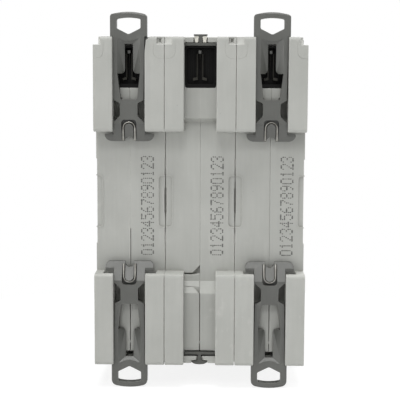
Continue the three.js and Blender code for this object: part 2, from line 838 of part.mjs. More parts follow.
// From the line terminal past the coil to the fixed contact, one bent strip.
function lineStrap() {
  const half = strapWidth / 2;
  const end = bodyEnd - strapEndInset;
  const down = -coilDepth + coilRadius + fit * 3;
  const foot = contactHeight + contactThick;
  const runner = -contactDepth + contactLength;
  const outline = [
    [strapFront, end],
    [strapFront, strapBend],
    [down, strapBend],
    [down, foot],
    [runner, foot],
    [runner, foot + strapThick],
    [down + strapThick, foot + strapThick],
    [down + strapThick, strapBend + strapThick],
    [strapRear, strapBend + strapThick],
    [strapRear, end],
  ];
  const strip = prismX(outline, -half, half);
  const near = -contactDepth - contactLength / 2;
  const far = -contactDepth + contactLength / 2;
  const pad = contactWidth / 2;
  return join(strip, box(-pad, pad, near, far, contactHeight, foot));
}

// From the load terminal back and up to the bimetal strip that the trip bar feels.
function loadStrap() {
  const half = strapWidth / 2;
  const end = -(bodyEnd - strapEndInset);
  const turned = -strapBend;
  const front = -bimetalLevel;
  const outline = [
    [strapFront, end],
    [strapRear, end],
    [strapRear, turned - strapThick],
    [-strapTurn + strapThick, turned - strapThick],
    [-strapTurn + strapThick, front + bimetalThick / 2],
    [-bimetalEnd, front + bimetalThick / 2],
    [-bimetalEnd, front - bimetalThick / 2],
    [-strapTurn, front - bimetalThick / 2],
    [-strapTurn, turned],
    [strapFront, turned],
  ];
  return prismX(outline, -half, half);
}

// The arm is drawn about its pivot, as it lies when open; its contact meets the fixed one when closed.
function armAngles() {
  const meet = new THREE.Vector2(-contactDepth + armPivotDepth, contactHeight - fit - armPivotHeight);
  const closed = Math.atan2(meet.y - contactThick - armThick / 2, meet.x);
  return { meet, closed, open: closed - THREE.MathUtils.degToRad(armSwing) };
}

function contactArm() {
  const { meet, closed } = armAngles();
  const half = armWidth / 2;
  const reach = meet.length() + contactLength / 2;
  const thick = armThick / 2;
  const beam = [
    [0, -armHub],
    [armShoulder, -thick],
    [reach, -armTipThick / 2],
    [reach, armTipThick / 2],
    [armShoulder, thick],
    [0, armHub],
  ];
  const hub = rodX(armHub, 0, 0, -half, half, bigFacets);
  const pin = rodX(armPinRadius, 0, 0, -pinEnd, pinEnd);
  const turnBack = (y, z) => {
    const point = new THREE.Vector2(y, z).rotateAround(new THREE.Vector2(), -closed);
    return [point.x, point.y];
  };
  const near = meet.x - contactLength / 2;
  const far = meet.x + contactLength / 2;
  const sunk = meet.y - contactThick - thick;
  const pad = [turnBack(near, meet.y), turnBack(near, sunk), turnBack(far, sunk), turnBack(far, meet.y)];
  const padHalf = contactWidth / 2;
  return join(prismX(beam, -half, half), hub, pin, prismX(pad, -padHalf, padHalf));
}

function arcChute() {
  const rear = -rearWall - fit;
  const front = rear - chuteDepth;
  const top = chuteBase + chuteLength;
  const pitch = (chuteDepth - chutePlateThick) / (chutePlates - 1);
  const cheeks = [1, -1].map((side) => {
    return box(side * pinEnd, side * (pinEnd - chuteCheek), front, rear, chuteBase + pitch, top);
  });
  const plates = Array.from({ length: chutePlates }, (_, i) => {
    const y = front + i * pitch;
    const mouth = pinEnd - chuteCheek * 2;
    return splitterPlate(mouth, y, top);
  });
  return join(...plates, ...cheeks);
}

// One plate of the chute, with a V cut into the edge that meets the arc.
function splitterPlate(mouth, y, top) {
  const half = pinEnd - chuteCheek / 2;
  const outline = [
    [-half, top],
    [-half, chuteBase],
    [-mouth / 2, chuteBase],
    [0, chuteBase + mouth / 2],
    [mouth / 2, chuteBase],
    [half, chuteBase],
    [half, top],
  ];
  return prismY(outline, y, y + chutePlateThick);
}

// ---- Coil and plunger, drawn about the coil's axis ----

function coil() {
  const windingBase = coilBase + coilFlange;
  const windingTop = coilTop - coilFlange;
  const pitch = (windingTop - windingBase) / coilTurns;
  const profile = [new THREE.Vector2(coilBore, windingTop), new THREE.Vector2(coilBore, windingBase)];
  for (let i = 0; i < coilTurns; i++) {
    const start = windingBase + i * pitch;
    profile.push(new THREE.Vector2(coilRadius - coilTurnDepth, start));
    profile.push(new THREE.Vector2(coilRadius, start + pitch / 2));
  }
  profile.push(new THREE.Vector2(coilRadius - coilTurnDepth, windingTop));
  profile.push(profile[0].clone());
  const geometry = new THREE.LatheGeometry(profile, barrelFacets / 2);
  geometry.rotateX(Math.PI / 2);
  geometry.translate(0, -coilDepth, 0);
  const winding = solid(geometry);
  const front = -coilDepth - coilRadius;
  const rear = -coilDepth + coilRadius + fit;
  const flanges = [
    box(-pinEnd, pinEnd, front, rear, coilBase, windingBase),
    box(-pinEnd, pinEnd, front, rear, windingTop, coilTop),
  ];
  const bores = [
    rodZ(plungerPinRadius + fit, 0, -coilDepth, coilBase - beyond, windingBase + beyond),
    rodZ(coilBore, 0, -coilDepth, windingTop - beyond, coilTop + beyond, bigFacets),
  ];
  return cut(join(winding, ...flanges), ...bores);
}

function plunger() {
  const base = coilBase + coilFlange + fit + plungerTravel;
  const body = rodZ(coilBore - fit, 0, -coilDepth, base, base + plungerLength, bigFacets);
  const pin = rodZ(plungerPinRadius, 0, -coilDepth, base - plungerPinLength, base + beyond);
  return join(body, pin);
}

// ---- Trip bar, toggles and rivets ----

function tripBar() {
  const reach = modulePitch + pinEnd;
  const bar = rodX(tripBarRadius, -tripDepth, tripHeight, -reach, reach);
  const outline = [
    [-tripBarRadius, 0],
    [-tripBarRadius, -tripLeg],
    [0, -tripLeg],
    [tripBarRadius, 0],
    [tripTail, 0],
    [tripTail, tripTailThick],
    [0, tripBarRadius],
  ].map(([y, z]) => [y - tripDepth, z + tripHeight]);
  const levers = [-1, 0, 1].map((pole) => {
    const start = pole * modulePitch - pinEnd + tripLeverInset;
    return prismX(outline, start, start + tripLeverThick);
  });
  return join(bar, ...levers);
}

// Drawn about its axis with the lever level, then turned to its place.
function toggle() {
  const half = toggleWidth / 2;
  const barrel = rodX(toggleRadius, 0, 0, -half, half, barrelFacets);
  const pin = rodX(togglePinRadius, 0, 0, -pinEnd, pinEnd);
  const root = toggleRootThick / 2;
  const tip = toggleTipThick / 2;
  const lever = roundedShape([
    [-toggleRadius / 2, -root],
    [-toggleReach, -tip, toggleTipRound],
    [-toggleReach, tip, toggleTipRound],
    [-toggleRadius / 2, root],
  ]);
  const leverHalf = half - fit;
  const bore = rodX(tieBarRadius + fit, -tieBarReach, 0, -half, half);
  return cut(join(barrel, pin, prismX(lever, -leverHalf, leverHalf)), bore);
}

function tieBar() {
  const reach = modulePitch + toggleWidth / 2 + tieBarOverhang;
  return rodX(tieBarRadius, -tieBarReach, 0, -reach, reach);
}

function rivet(y, z) {
  const end = modulePitch + halfPole - poleGap / 2;
  const shank = rodX(rivetRadius, y, z, -end, end);
  const heads = [-1, 1].map((side) => {
    return rodX(rivetHeadRadius, y, z, side * (end - rivetHeadThick), side * end, bigFacets);
  });
  return join(shank, ...heads);
}

// ---- The assembly ----

const breaker = new THREE.Group();
const toggleTurn = THREE.MathUtils.degToRad(toggleRest);

const clipBody = railClip();
const wireBody = clipWire();

for (const pole of [1, 2, 3]) {
  const group = new THREE.Group();
  group.position.x = (pole - 2) * modulePitch;
  const name = (part) => `pole${pole}_${part}`;
  group.add(piece(name("case_left"), halfShell(pole, -1), "case"));
  group.add(piece(name("case_right"), halfShell(pole, 1), "case"));
  group.add(piece(name("vent"), vent(), "black"));
  group.add(piece(name("line_strap"), lineStrap(), "copper"));
  group.add(piece(name("load_strap"), loadStrap(), "bimetal"));
  group.add(piece(name("arc_chute"), arcChute(), "fibre"));
  group.add(piece(name("coil"), coil(), "copper"));
  group.add(piece(name("plunger"), plunger(), "steel"));
  for (const [end, side] of [[1, "top"], [-1, "bottom"]]) {
    group.add(piece(name(`${side}_clamp`), cage(end), "zinc"));
    group.add(piece(name(`${side}_screw`), screw(end), "zinc"));
  }

  const arm = piece(name("contact_arm"), contactArm(), "copper");
  arm.position.set(0, -armPivotDepth, armPivotHeight);
  arm.rotation.x = armAngles().open;
  group.add(arm);

  const handle = piece(name("toggle"), toggle(), "toggle");
  handle.position.set(0, -toggleDepth, 0);
  handle.rotation.x = toggleTurn;
  group.add(handle);

  if (pole !== 2) {
    for (const [turn, end] of [[0, "top"], [Math.PI, "bottom"]]) {
      const clip = piece(`${end}_clip_${pole}`, clipBody, "clip");
      const wire = piece(`${end}_clip_wire_${pole}`, wireBody, "steel");
      clip.rotation.y = turn;
      wire.rotation.y = turn;
      group.add(clip, wire);
    }
  }
  breaker.add(group);
}

breaker.add(piece("top_channel_key", topKey(), "clip"));
breaker.add(piece("bottom_channel_key", bottomKey(), "clip"));
breaker.add(piece("trip_bar", tripBar(), "black"));
rivetPlaces.forEach(([y, z], i) => breaker.add(piece(`rivet_${i + 1}`, rivet(y, z), "steel")));

const bar = piece("toggle_tie_bar", tieBar(), "toggle");
bar.position.set(0, -toggleDepth, 0);
bar.rotation.x = toggleTurn;
breaker.add(bar);

export default breaker;
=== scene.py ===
import json
import math

import bmesh
import bpy
from mathutils import Matrix, Vector
from mathutils.geometry import intersect_line_line_2d
from mathutils.kdtree import KDTree

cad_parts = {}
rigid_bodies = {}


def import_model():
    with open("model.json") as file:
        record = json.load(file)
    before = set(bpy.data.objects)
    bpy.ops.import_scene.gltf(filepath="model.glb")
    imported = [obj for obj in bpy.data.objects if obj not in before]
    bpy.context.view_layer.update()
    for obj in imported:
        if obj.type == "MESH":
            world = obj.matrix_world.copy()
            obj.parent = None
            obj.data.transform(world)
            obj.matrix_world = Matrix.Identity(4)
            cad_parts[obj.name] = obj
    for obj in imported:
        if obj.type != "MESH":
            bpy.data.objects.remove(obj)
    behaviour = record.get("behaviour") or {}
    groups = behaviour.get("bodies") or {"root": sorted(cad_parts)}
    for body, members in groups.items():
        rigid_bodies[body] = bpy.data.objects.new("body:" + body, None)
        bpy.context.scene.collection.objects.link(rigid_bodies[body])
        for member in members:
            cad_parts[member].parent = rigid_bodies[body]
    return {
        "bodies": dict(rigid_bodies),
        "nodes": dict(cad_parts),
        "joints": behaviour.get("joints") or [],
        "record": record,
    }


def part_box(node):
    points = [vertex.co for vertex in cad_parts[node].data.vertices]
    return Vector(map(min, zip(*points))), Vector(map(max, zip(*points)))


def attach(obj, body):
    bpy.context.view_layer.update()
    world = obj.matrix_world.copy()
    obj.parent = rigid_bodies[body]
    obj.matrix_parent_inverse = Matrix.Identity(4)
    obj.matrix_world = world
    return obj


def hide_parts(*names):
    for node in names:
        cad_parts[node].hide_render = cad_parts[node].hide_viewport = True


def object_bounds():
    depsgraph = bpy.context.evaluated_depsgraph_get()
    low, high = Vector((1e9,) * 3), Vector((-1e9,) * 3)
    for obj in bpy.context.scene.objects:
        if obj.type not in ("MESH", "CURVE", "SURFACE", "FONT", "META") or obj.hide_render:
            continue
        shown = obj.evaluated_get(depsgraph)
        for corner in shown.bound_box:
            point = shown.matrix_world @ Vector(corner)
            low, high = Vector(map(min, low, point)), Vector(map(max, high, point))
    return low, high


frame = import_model()
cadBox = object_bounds()
nodes = frame["nodes"]
bodies = frame["record"]["behaviour"]["bodies"]
bodyOf = {node: body for body, members in bodies.items() for node in members}
slotOf = {part["node"]: part["material_slot"] for part in frame["record"]["subparts"]}
scene = bpy.context.scene
mm = 0.001


def turned(degrees, axis):
    return Matrix.Rotation(math.radians(degrees), 4, axis)


def linked(name, data):
    holder = bpy.data.objects.new(name, data)
    scene.collection.objects.link(holder)
    return holder


def meshFrom(name, spots, edges=(), faces=()):
    mesh = bpy.data.meshes.new(name)
    mesh.from_pydata(spots, edges, faces)
    return mesh


# the photograph's view: from behind the rail, a little above the middle

cameraLook = {
    "place": (-0.004595, 0.265149, 0.028041),
    "target": (0.00005, 0.0, 0.00037),
    "roll": 0.24,  # degrees
    "lens": 94.32,
    "sensor": 36.0,
}


def addCamera(look):
    data = bpy.data.cameras.new("rearCamera")
    data.lens = look["lens"]
    data.sensor_width = look["sensor"]
    data.clip_start = 0.01
    data.clip_end = 20
    camera = linked("rearCamera", data)
    forward = Vector(look["target"]) - Vector(look["place"])
    turn = forward.to_track_quat("-Z", "Y").to_matrix().to_4x4()
    camera.matrix_world = Matrix.Translation(look["place"]) @ turn @ turned(look["roll"], "Z")
    scene.camera = camera


addCamera(cameraLook)

studio = {
    "ambient": 0.235,
    "floorAlbedo": 0.82,
    "floorSize": 6.0,
    "floorGap": 0.02,  # millimetres under the part
    "shadowReach": (0.05, 0.14),  # metres from the object: shadow whole, shadow gone
    "shadowShade": 1.5, "shadowShare": 0.14,
    "lamps": {
        # name: place, size, watts
        "keyBehind": ((0.16, 1.45, 1.3), 0.42, 6.6),
        "leftBehind": ((0.75, 0.5, 0.2), 0.5, 1.8),
        "topBroad": ((0.0, 0.5, 2.4), 1.2, 44.0),
        "keyFront": ((-0.4, -0.6, 0.5), 0.5, 3.2),
    },
}


def feed(node, feeds):  # values, or nodes and sockets to link, for a node's inputs
    for socket, value in feeds.items():
        source = value.outputs[0] if isinstance(value, bpy.types.Node) else value
        if isinstance(source, bpy.types.NodeSocket):
            node.id_data.links.new(source, node.inputs[socket])
        else:
            node.inputs[socket].default_value = source
    return node


def put(tree, kind, feeds=None, **settings):  # a new node with its settings and what feeds it
    node = tree.nodes.new(kind)
    for key, value in settings.items():
        setattr(node, key, value)
    return feed(node, feeds or {})


def objectPlace(tree):
    return put(tree, "ShaderNodeTexCoord").outputs["Object"]


def maths(tree, how, first, second):
    return put(tree, "ShaderNodeMath", {0: first, 1: second}, operation=how)


def levels(tree, fac, low, high, start=0.0, end=1.0):
    feeds = {"Value": fac, "From Min": low, "From Max": high, "To Min": start, "To Max": end}
    return put(tree, "ShaderNodeMapRange", feeds)


def cameraSeen(tree, other, seen):  # one shader for the camera's own rays, another for the rest
    rays = put(tree, "ShaderNodeLightPath").outputs
    direct = maths(tree, "MAXIMUM", rays["Is Camera Ray"], rays["Is Glossy Ray"])
    fac = maths(tree, "MAXIMUM", direct, rays["Is Transmission Ray"])
    return put(tree, "ShaderNodeMixShader", {0: fac, 1: other, 2: seen})


def lightStudio(look):
    world = bpy.data.worlds.new("whiteStudio")
    scene.world = world
    world.use_nodes = True
    tree = world.node_tree
    tree.nodes.clear()
    white = {"Color": (1, 1, 1, 1)}
    soft = put(tree, "ShaderNodeBackground", {**white, "Strength": look["ambient"]})
    mix = cameraSeen(tree, soft, put(tree, "ShaderNodeBackground", white))
    put(tree, "ShaderNodeOutputWorld", {0: mix})
    for name, (place, size, watts) in look["lamps"].items():
        lamp = bpy.data.lights.new(name, "AREA")
        lamp.size = size
        lamp.energy = watts
        holder = linked(name, lamp)
        holder.location = place
        holder.rotation_euler = (-Vector(place)).to_track_quat("-Z", "Y").to_euler()


def layFloor(look):
    half = look["floorSize"] / 2
    level = cadBox[0].z - look["floorGap"] * mm
    corners = [(-half, -half), (half, -half), (half, half), (-half, half)]
    mesh = meshFrom("floor", [(x, y, level) for x, y in corners], faces=[(0, 1, 2, 3)])
    floor = linked("floor", mesh)
    ground = bpy.data.materials.new("paleFloor")
    ground.use_nodes = True
    tree = ground.node_tree
    tree.nodes.clear()
    plain, lit = (
        put(tree, "ShaderNodeBsdfDiffuse", {"Color": (look[shade],) * 3 + (1,)})
        for shade in ("floorAlbedo", "shadowShade")
    )
    # near the object the camera sees a lit white with its shadow, further off plain white
    where = {0: objectPlace(tree)}
    away = put(tree, "ShaderNodeVectorMath", where, operation="LENGTH").outputs["Value"]
    fade = levels(tree, away, *look["shadowReach"])
    white = put(tree, "ShaderNodeEmission", {"Color": (1, 1, 1, 1), "Strength": 1.0})
    share = maths(tree, "MAXIMUM", fade, 1 - look["shadowShare"])
    seen = put(tree, "ShaderNodeMixShader", {0: share, 1: lit, 2: white})
    put(tree, "ShaderNodeOutputMaterial", {0: cameraSeen(tree, plain, seen)})
    mesh.materials.append(ground)


lightStudio(studio)
layFloor(studio)
scene.view_settings.view_transform = "Standard"
print("camera, lamps and floor placed")


# finishes, all on Object coordinates; sizes in them are in millimetres, colours in levels of 255


def rgb(shades):
    return tuple(((v / 255 + 0.055) / 1.055) ** 2.4 for v in shades) + (1,)


def paint(name, rough, metal=0.0):
    mat = bpy.data.materials.new(name)
    mat.use_nodes = True
    skin = mat.node_tree.nodes["Principled BSDF"]
    return mat, mat.node_tree, feed(skin, {"Roughness": rough, "Metallic": metal})


def times(tree, first, second):
    return maths(tree, "MULTIPLY", first, second)


def blots(tree, size, stretch=(1, 1, 1), detail=2.0):  # noise with blots about this size across
    scale = tuple(1 / (size * mm * s) for s in stretch)
    spread = put(tree, "ShaderNodeMapping", {"Vector": objectPlace(tree), "Scale": scale})
    return put(tree, "ShaderNodeTexNoise", {"Vector": spread, "Scale": 1, "Detail": detail})


def specks(tree, cell, size):  # 1 in small round spots, 0 between them
    feeds = {"Vector": objectPlace(tree), "Scale": 1 / (cell * mm)}
    dots = put(tree, "ShaderNodeTexVoronoi", feeds)
    near = maths(tree, "LESS_THAN", dots.outputs["Distance"], size / cell)
    some = put(tree, "ShaderNodeSeparateColor", {0: dots.outputs["Color"]})
    return times(tree, near, maths(tree, "LESS_THAN", some, 0.3))


def blend(tree, fac, first, second, how="MIX"):
    feeds = {0: fac, 6: first, 7: second}
    return put(tree, "ShaderNodeMix", feeds, data_type="RGBA", blend_type=how).outputs[2]


def worn(tree, reach):  # 1 along edges, 0 on flats
    rounded = put(tree, "ShaderNodeBevel", {"Radius": reach * mm}, samples=4)
    face = put(tree, "ShaderNodeNewGeometry").outputs["True Normal"]
    facing = put(tree, "ShaderNodeVectorMath", {0: rounded, 1: face}, operation="DOT_PRODUCT")
    return levels(tree, facing.outputs["Value"], 0.98, 0.8)


# where ambient occlusion is deep, for painting shade into seams and corners
def paintedShadeMask(tree, reach):  # 1 deep in seams and corners, 0 in the open
    open = put(tree, "ShaderNodeAmbientOcclusion", {"Distance": reach * mm}, samples=6)
    return levels(tree, open.outputs["AO"], 0.75, 0.25)


def coat(tree, skin, colour, height, depth, rough=None):
    bump = put(tree, "ShaderNodeBump", {"Height": height, "Strength": 1, "Distance": depth * mm})
    feed(skin, {"Base Color": colour, "Normal": bump, **({"Roughness": rough} if rough else {})})


# in each look, the third colour and the value after wear paint shade into seams and corners
plasticLook = {
    "case": {
        "pale": (180, 181, 176), "deep": (172, 173, 168), "nookShade": (112, 109, 100),
        "worn": (204, 204, 199), "speck": (92, 90, 85), "scuff": (206, 206, 201),
        "rough": (0.46, 0.6), "gloss": 0.5, "wear": 0.5, "nookShadeAmount": 0.4, "blot": 11, "scuffs": 0.25,
        "grain": 0.22, "grainDepth": 0.012, "flowDepth": 0.006,
    },
    "clip": {
        "pale": (86, 87, 83), "deep": (79, 80, 76), "nookShade": (38, 37, 34),
        "worn": (106, 106, 101), "speck": (128, 127, 122), "scuff": (106, 106, 101),
        "rough": (0.32, 0.42), "gloss": 0.75, "wear": 0.25, "nookShadeAmount": 0.3, "blot": 5, "scuffs": 0.5,
        "grain": 0.16, "grainDepth": 0.014, "flowDepth": 0.01,
    },
    "key": {
        "pale": (82, 83, 79), "deep": (73, 74, 70), "nookShade": (34, 33, 30),
        "worn": (108, 108, 103), "speck": (110, 109, 104), "scuff": (94, 94, 90),
        "rough": (0.42, 0.54), "gloss": 0.5, "wear": 0.3, "nookShadeAmount": 0.4, "blot": 3, "scuffs": 0.5,
        "grain": 0.16, "grainDepth": 0.014, "flowDepth": 0.01,
    },
    "vent_black": {
        "pale": (10, 10, 9), "deep": (7, 7, 6), "nookShade": (4, 4, 4),
        "worn": (30, 30, 27), "speck": (30, 30, 27), "scuff": (18, 18, 16),
        "rough": (0.34, 0.5), "gloss": 0.15, "wear": 0.4, "nookShadeAmount": 0.4, "blot": 3, "scuffs": 0.4,
        "grain": 0.14, "grainDepth": 0.01, "flowDepth": 0.006,
    },
    "lug": {
        "pale": (224, 222, 212), "deep": (212, 210, 199), "nookShade": (150, 145, 130),
        "worn": (232, 231, 224), "speck": (170, 166, 152), "scuff": (234, 232, 225),
        "rough": (0.4, 0.55), "gloss": 0.5, "wear": 0.4, "nookShadeAmount": 0.3, "blot": 2, "scuffs": 0.3,
        "grain": 0.2, "grainDepth": 0.01, "flowDepth": 0.004,
    },
    "toggle": {
        "pale": (52, 56, 61), "deep": (44, 47, 52), "nookShade": (26, 26, 27),
        "worn": (76, 80, 85), "speck": (72, 75, 79), "scuff": (66, 70, 75),
        "rough": (0.36, 0.5), "gloss": 0.5, "wear": 0.6, "nookShadeAmount": 0.35, "blot": 4, "scuffs": 0.4,
        "grain": 0.2, "grainDepth": 0.016, "flowDepth": 0.004,
    },
}
ventPlastic = plasticLook["vent_black"]
# paler copies of the black plastic: painted highlights on the fork's legs and blade, painted glints
# on its toes
plasticLook["ventFork"] = {**ventPlastic, "pale": (46, 45, 40), "deep": (38, 37, 33)}
plasticLook["ventToe"] = {**ventPlastic, "pale": (64, 63, 58), "deep": (56, 55, 50)}


def moulded(name, look):
    mat, tree, skin = paint(name, look["rough"][0])
    feed(skin, {"Specular IOR Level": look["gloss"]})
    cloud = blots(tree, look["blot"], detail=4)
    flow = blots(tree, look["blot"] / 12, stretch=(1, 1, 16))
    toned = levels(tree, maths(tree, "ADD", cloud, times(tree, flow, 0.35)), 0.5, 0.85)
    colour = blend(tree, toned, rgb(look["deep"]), rgb(look["pale"]))
    patch = levels(tree, blots(tree, 17, detail=1), 0.56, 0.68)
    streaks = blots(tree, 1.6, stretch=(1, 1, 1.8), detail=6)
    nookShadeShare = levels(tree, blots(tree, 1.3), 0.35, 0.65, 0.5 * look["nookShadeAmount"], 1.5 * look["nookShadeAmount"])
    # the last layer paints shade into seams and corners, where ambient occlusion is deep
    for layer, where, share in (
        ("scuff", patch, levels(tree, streaks, 0.55, 0.7, 0.0, look["scuffs"])),
        ("speck", specks(tree, look["blot"] / 4, 0.09), 0.6),
        ("worn", worn(tree, 0.35), times(tree, cloud, 2 * look["wear"])),
        ("nookShade", paintedShadeMask(tree, 1.4), nookShadeShare),
    ):
        colour = blend(tree, times(tree, where, share), colour, rgb(look[layer]))
    grain = blots(tree, look["grain"], detail=3)
    waves = times(tree, flow, look["flowDepth"] / look["grainDepth"])
    rough = levels(tree, cloud, 0.3, 0.7, *look["rough"])
    coat(tree, skin, colour, maths(tree, "ADD", grain, waves), look["grainDepth"], rough)
    return mat


# each metal's stain colour also paints shade into its hollows
metalLook = {
    "steel": {
        "pale": (172, 171, 165), "deep": (132, 130, 124), "stainAndShade": (92, 86, 76),
        "rough": (0.3, 0.42), "lines": (0.05, (1, 1, 30)), "blot": 1.2, "stains": 0.15,
    },
    "zinc_steel": {
        "pale": (206, 205, 196), "deep": (172, 173, 170), "stainAndShade": (150, 138, 104),
        "rough": (0.26, 0.42), "lines": (0.12, (1, 1, 1)), "blot": 2.2, "stains": 0.35,
    },
    "copper": {
        "pale": (206, 138, 96), "deep": (176, 106, 68), "stainAndShade": (104, 62, 44),
        "rough": (0.24, 0.42), "lines": (0.1, (1, 6, 6)), "blot": 3.5, "stains": 0.5,
    },
    "bimetal": {
        "pale": (186, 182, 168), "deep": (150, 146, 132), "stainAndShade": (112, 100, 82),
        "rough": (0.28, 0.44), "lines": (0.08, (1, 8, 8)), "blot": 3, "stains": 0.4,
    },
    "chute_plates": {
        "pale": (178, 172, 164), "deep": (140, 134, 126), "stainAndShade": (122, 82, 60),
        "rough": (0.34, 0.52), "lines": (0.12, (1, 1, 8)), "blot": 2.4, "stains": 0.6,
    },
}


def metallic(name, look):
    mat, tree, skin = paint(name, look["rough"][0], 1.0)
    pale, deep, stainAndShade = (rgb(look[key]) for key in ("pale", "deep", "stainAndShade"))
    size, stretch = look["lines"]
    lines = blots(tree, size, stretch=stretch)
    colour = blend(tree, levels(tree, blots(tree, look["blot"], detail=4), 0.35, 0.7), deep, pale)
    spots = blots(tree, look["blot"] * 2.3, detail=5)
    colour = blend(tree, levels(tree, spots, 0.52, 0.72, 0.0, look["stains"]), colour, stainAndShade)
    # painted shade: the stain colour multiplied in where ambient occlusion is deep
    shadedColour = blend(tree, paintedShadeMask(tree, 1.0), colour, stainAndShade, how="MULTIPLY")
    rough = levels(tree, lines, 0.3, 0.7, *look["rough"])
    coat(tree, skin, blend(tree, 0.6, colour, shadedColour), lines, 0.006, rough)
    return mat


fibreLook = {"pale": (168, 116, 82), "deep": (138, 90, 62), "rough": 0.8}


def fibreBoard(look):
    mat, tree, skin = paint("fibreBoard", look["rough"])
    pale, deep = rgb(look["pale"]), rgb(look["deep"])
    strands = blots(tree, 0.3, stretch=(1, 5, 1), detail=4)
    colour = blend(tree, levels(tree, strands, 0.3, 0.7), deep, pale)
    # painted shade: the deep colour multiplied into hollows
    shadedColour = blend(tree, paintedShadeMask(tree, 2), colour, deep, how="MULTIPLY")
    coat(tree, skin, shadedColour, strands, 0.03)
    return mat


printLook = {"ink": (88, 88, 85), "thin": (128, 128, 124), "white": (226, 226, 220)}


def printed(name, full, thin):
    mat, tree, skin = paint(name, 0.6)
    fade = levels(tree, blots(tree, 0.5, detail=3), 0.42, 0.68)
    colour = blend(tree, fade, rgb(printLook[full]), rgb(printLook[thin]))
    coat(tree, skin, colour, blots(tree, 0.1), 0.01)
    return mat


finishes = {slot: moulded(slot + "Plastic", look) for slot, look in plasticLook.items()}
finishes.update({slot: metallic(slot + "Metal", look) for slot, look in metalLook.items()})
fibre = fibreBoard(fibreLook)
ink = printed("greyInk", "ink", "thin")
whiteInk = printed("whiteInk", "white", "white")
for name, node in nodes.items():
    node.data.materials.clear()
    node.data.materials.append(finishes[slotOf[name]])
print("finishes ready:", len(finishes) + 3)


# shapes are worked out in millimetres and scaled when they are finished


def boxOf(name):
    low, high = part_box(name)
    return low / mm, high / mm


def pick(look, names):  # several of a look's values at once
    return [look[name] for name in names.split()]


def bend(start, corner, end, steps=8):  # a curve that leaves and arrives towards the corner
    spots = []
    for t in (i / steps for i in range(steps + 1)):
        a, b, c = (1 - t) ** 2, 2 * t * (1 - t), t * t
        spots.append(tuple(a * p + b * q + c * r for p, q, r in zip(start, corner, end)))
    return spots


def arc(middle, radius, start, end, steps):  # angles in degrees
    turns = [math.radians(start + (end - start) * i / steps) for i in range(steps + 1)]
    return [(middle[0] + radius * math.cos(a), middle[1] + radius * math.sin(a)) for a in turns]


def circle(middle, radius, steps=64):
    return arc(middle, radius, 0, 360, steps)[:-1]


def rounded(corners, steps=6):  # corners are (a, b, radius)
    spots = []
    for i, (a, b, radius) in enumerate(corners):
        if not radius:
            spots.append((a, b))
            continue
        here = Vector((a, b))
        back = (Vector(corners[i - 1][:2]) - here).normalized()
        ahead = (Vector(corners[(i + 1) % len(corners)][:2]) - here).normalized()
        half = back.angle(ahead) / 2
        middle = here + (back + ahead).normalized() * radius / math.sin(half)
        start = here + back * radius / math.tan(half) - middle
        end = here + ahead * radius / math.tan(half) - middle
        first = math.degrees(math.atan2(start.y, start.x))
        sweep = math.degrees(math.atan2(end.y, end.x)) - first
        sweep = (sweep + 180) % 360 - 180
        spots += arc(middle, radius, first, first + sweep, steps)
    return spots


def bothSides(half):  # the whole of an outline that is the same on both sides, from its +x half
    return half + [(-x, z) for x, z in reversed(half) if x]


def ribbon(path, width):  # the outline of a strip along a path
    left, right = [], []
    for i, (a, b) in enumerate(path):
        before, after = path[max(i - 1, 0)], path[min(i + 1, len(path) - 1)]
        side = Vector((before[1] - after[1], after[0] - before[0])).normalized() * width / 2
        left.append((a + side.x, b + side.y))
        right.append((a - side.x, b - side.y))
    return left + right[::-1]


def prism(outline, low, high, axis="Y"):  # an outline pushed along one axis
    at = "XYZ".index(axis)
    bm = bmesh.new()
    near, far = (
        [bm.verts.new((*spot[:at], level, *spot[at:])) for spot in outline] for level in (low, high)
    )
    bm.faces.new(near)
    bm.faces.new(far)
    for i in range(len(outline)):
        bm.faces.new((near[i - 1], near[i], far[i], far[i - 1]))
    bmesh.ops.recalc_face_normals(bm, faces=bm.faces)
    return bm


def block(x0, x1, y0, y1, z0, z1):
    return prism([(x0, z0), (x1, z0), (x1, z1), (x0, z1)], y0, y1)


def hull(points):
    bm = bmesh.new()
    for point in points:
        bm.verts.new(point)
    bmesh.ops.convex_hull(bm, input=bm.verts)
    bmesh.ops.recalc_face_normals(bm, faces=bm.faces)
    return bm


def lathe(profile, axis="Y", steps=48):  # profile is (radius, along), both ends on the axis
    bm = bmesh.new()
    spots = [bm.verts.new((radius, 0, along)) for radius, along in profile]
    line = spots + [bm.edges.new(pair) for pair in zip(spots, spots[1:])]
    about = {"axis": (0, 0, 1), "cent": (0, 0, 0), "angle": 2 * math.pi}
    bmesh.ops.spin(bm, geom=line, steps=steps, **about)
    bmesh.ops.remove_doubles(bm, verts=bm.verts, dist=1e-4)
    bmesh.ops.recalc_face_normals(bm, faces=bm.faces)
    bm.transform(turned(90, "Y") if axis == "X" else turned(-90, "X"))
    return bm


def moved(bm, x=0, y=0, z=0, turn=None):
    bm.transform(Matrix.Translation((x, y, z)) @ (turn or Matrix()))
    return bm


def mirrored(bm, x=-1, z=1):  # in place, its faces kept the right way out
    bm.transform(Matrix.Diagonal((x, 1, z, 1)))
    bmesh.ops.reverse_faces(bm, faces=bm.faces)
    return bm


def shelve(bm, name="shape"):
    mesh = bpy.data.meshes.new(name)
    bm.to_mesh(mesh)
    bm.free()
    return linked(name, mesh)


def meshOf(holder):  # what its modifiers make of an object
    bpy.context.view_layer.update()
    graph = bpy.context.evaluated_depsgraph_get()
    return bpy.data.meshes.new_from_object(holder.evaluated_get(graph))


def unshelve(holder):
    mesh = meshOf(holder)
    bm = bmesh.new()
    bm.from_mesh(mesh)
    bpy.data.objects.remove(holder)
    bpy.data.meshes.remove(mesh)
    return bm


def tidied(bm, flat=0.3):
    bmesh.ops.remove_doubles(bm, verts=bm.verts, dist=2e-3)
    bmesh.ops.dissolve_limit(bm, angle_limit=math.radians(flat), verts=bm.verts, edges=bm.edges)
    return bm


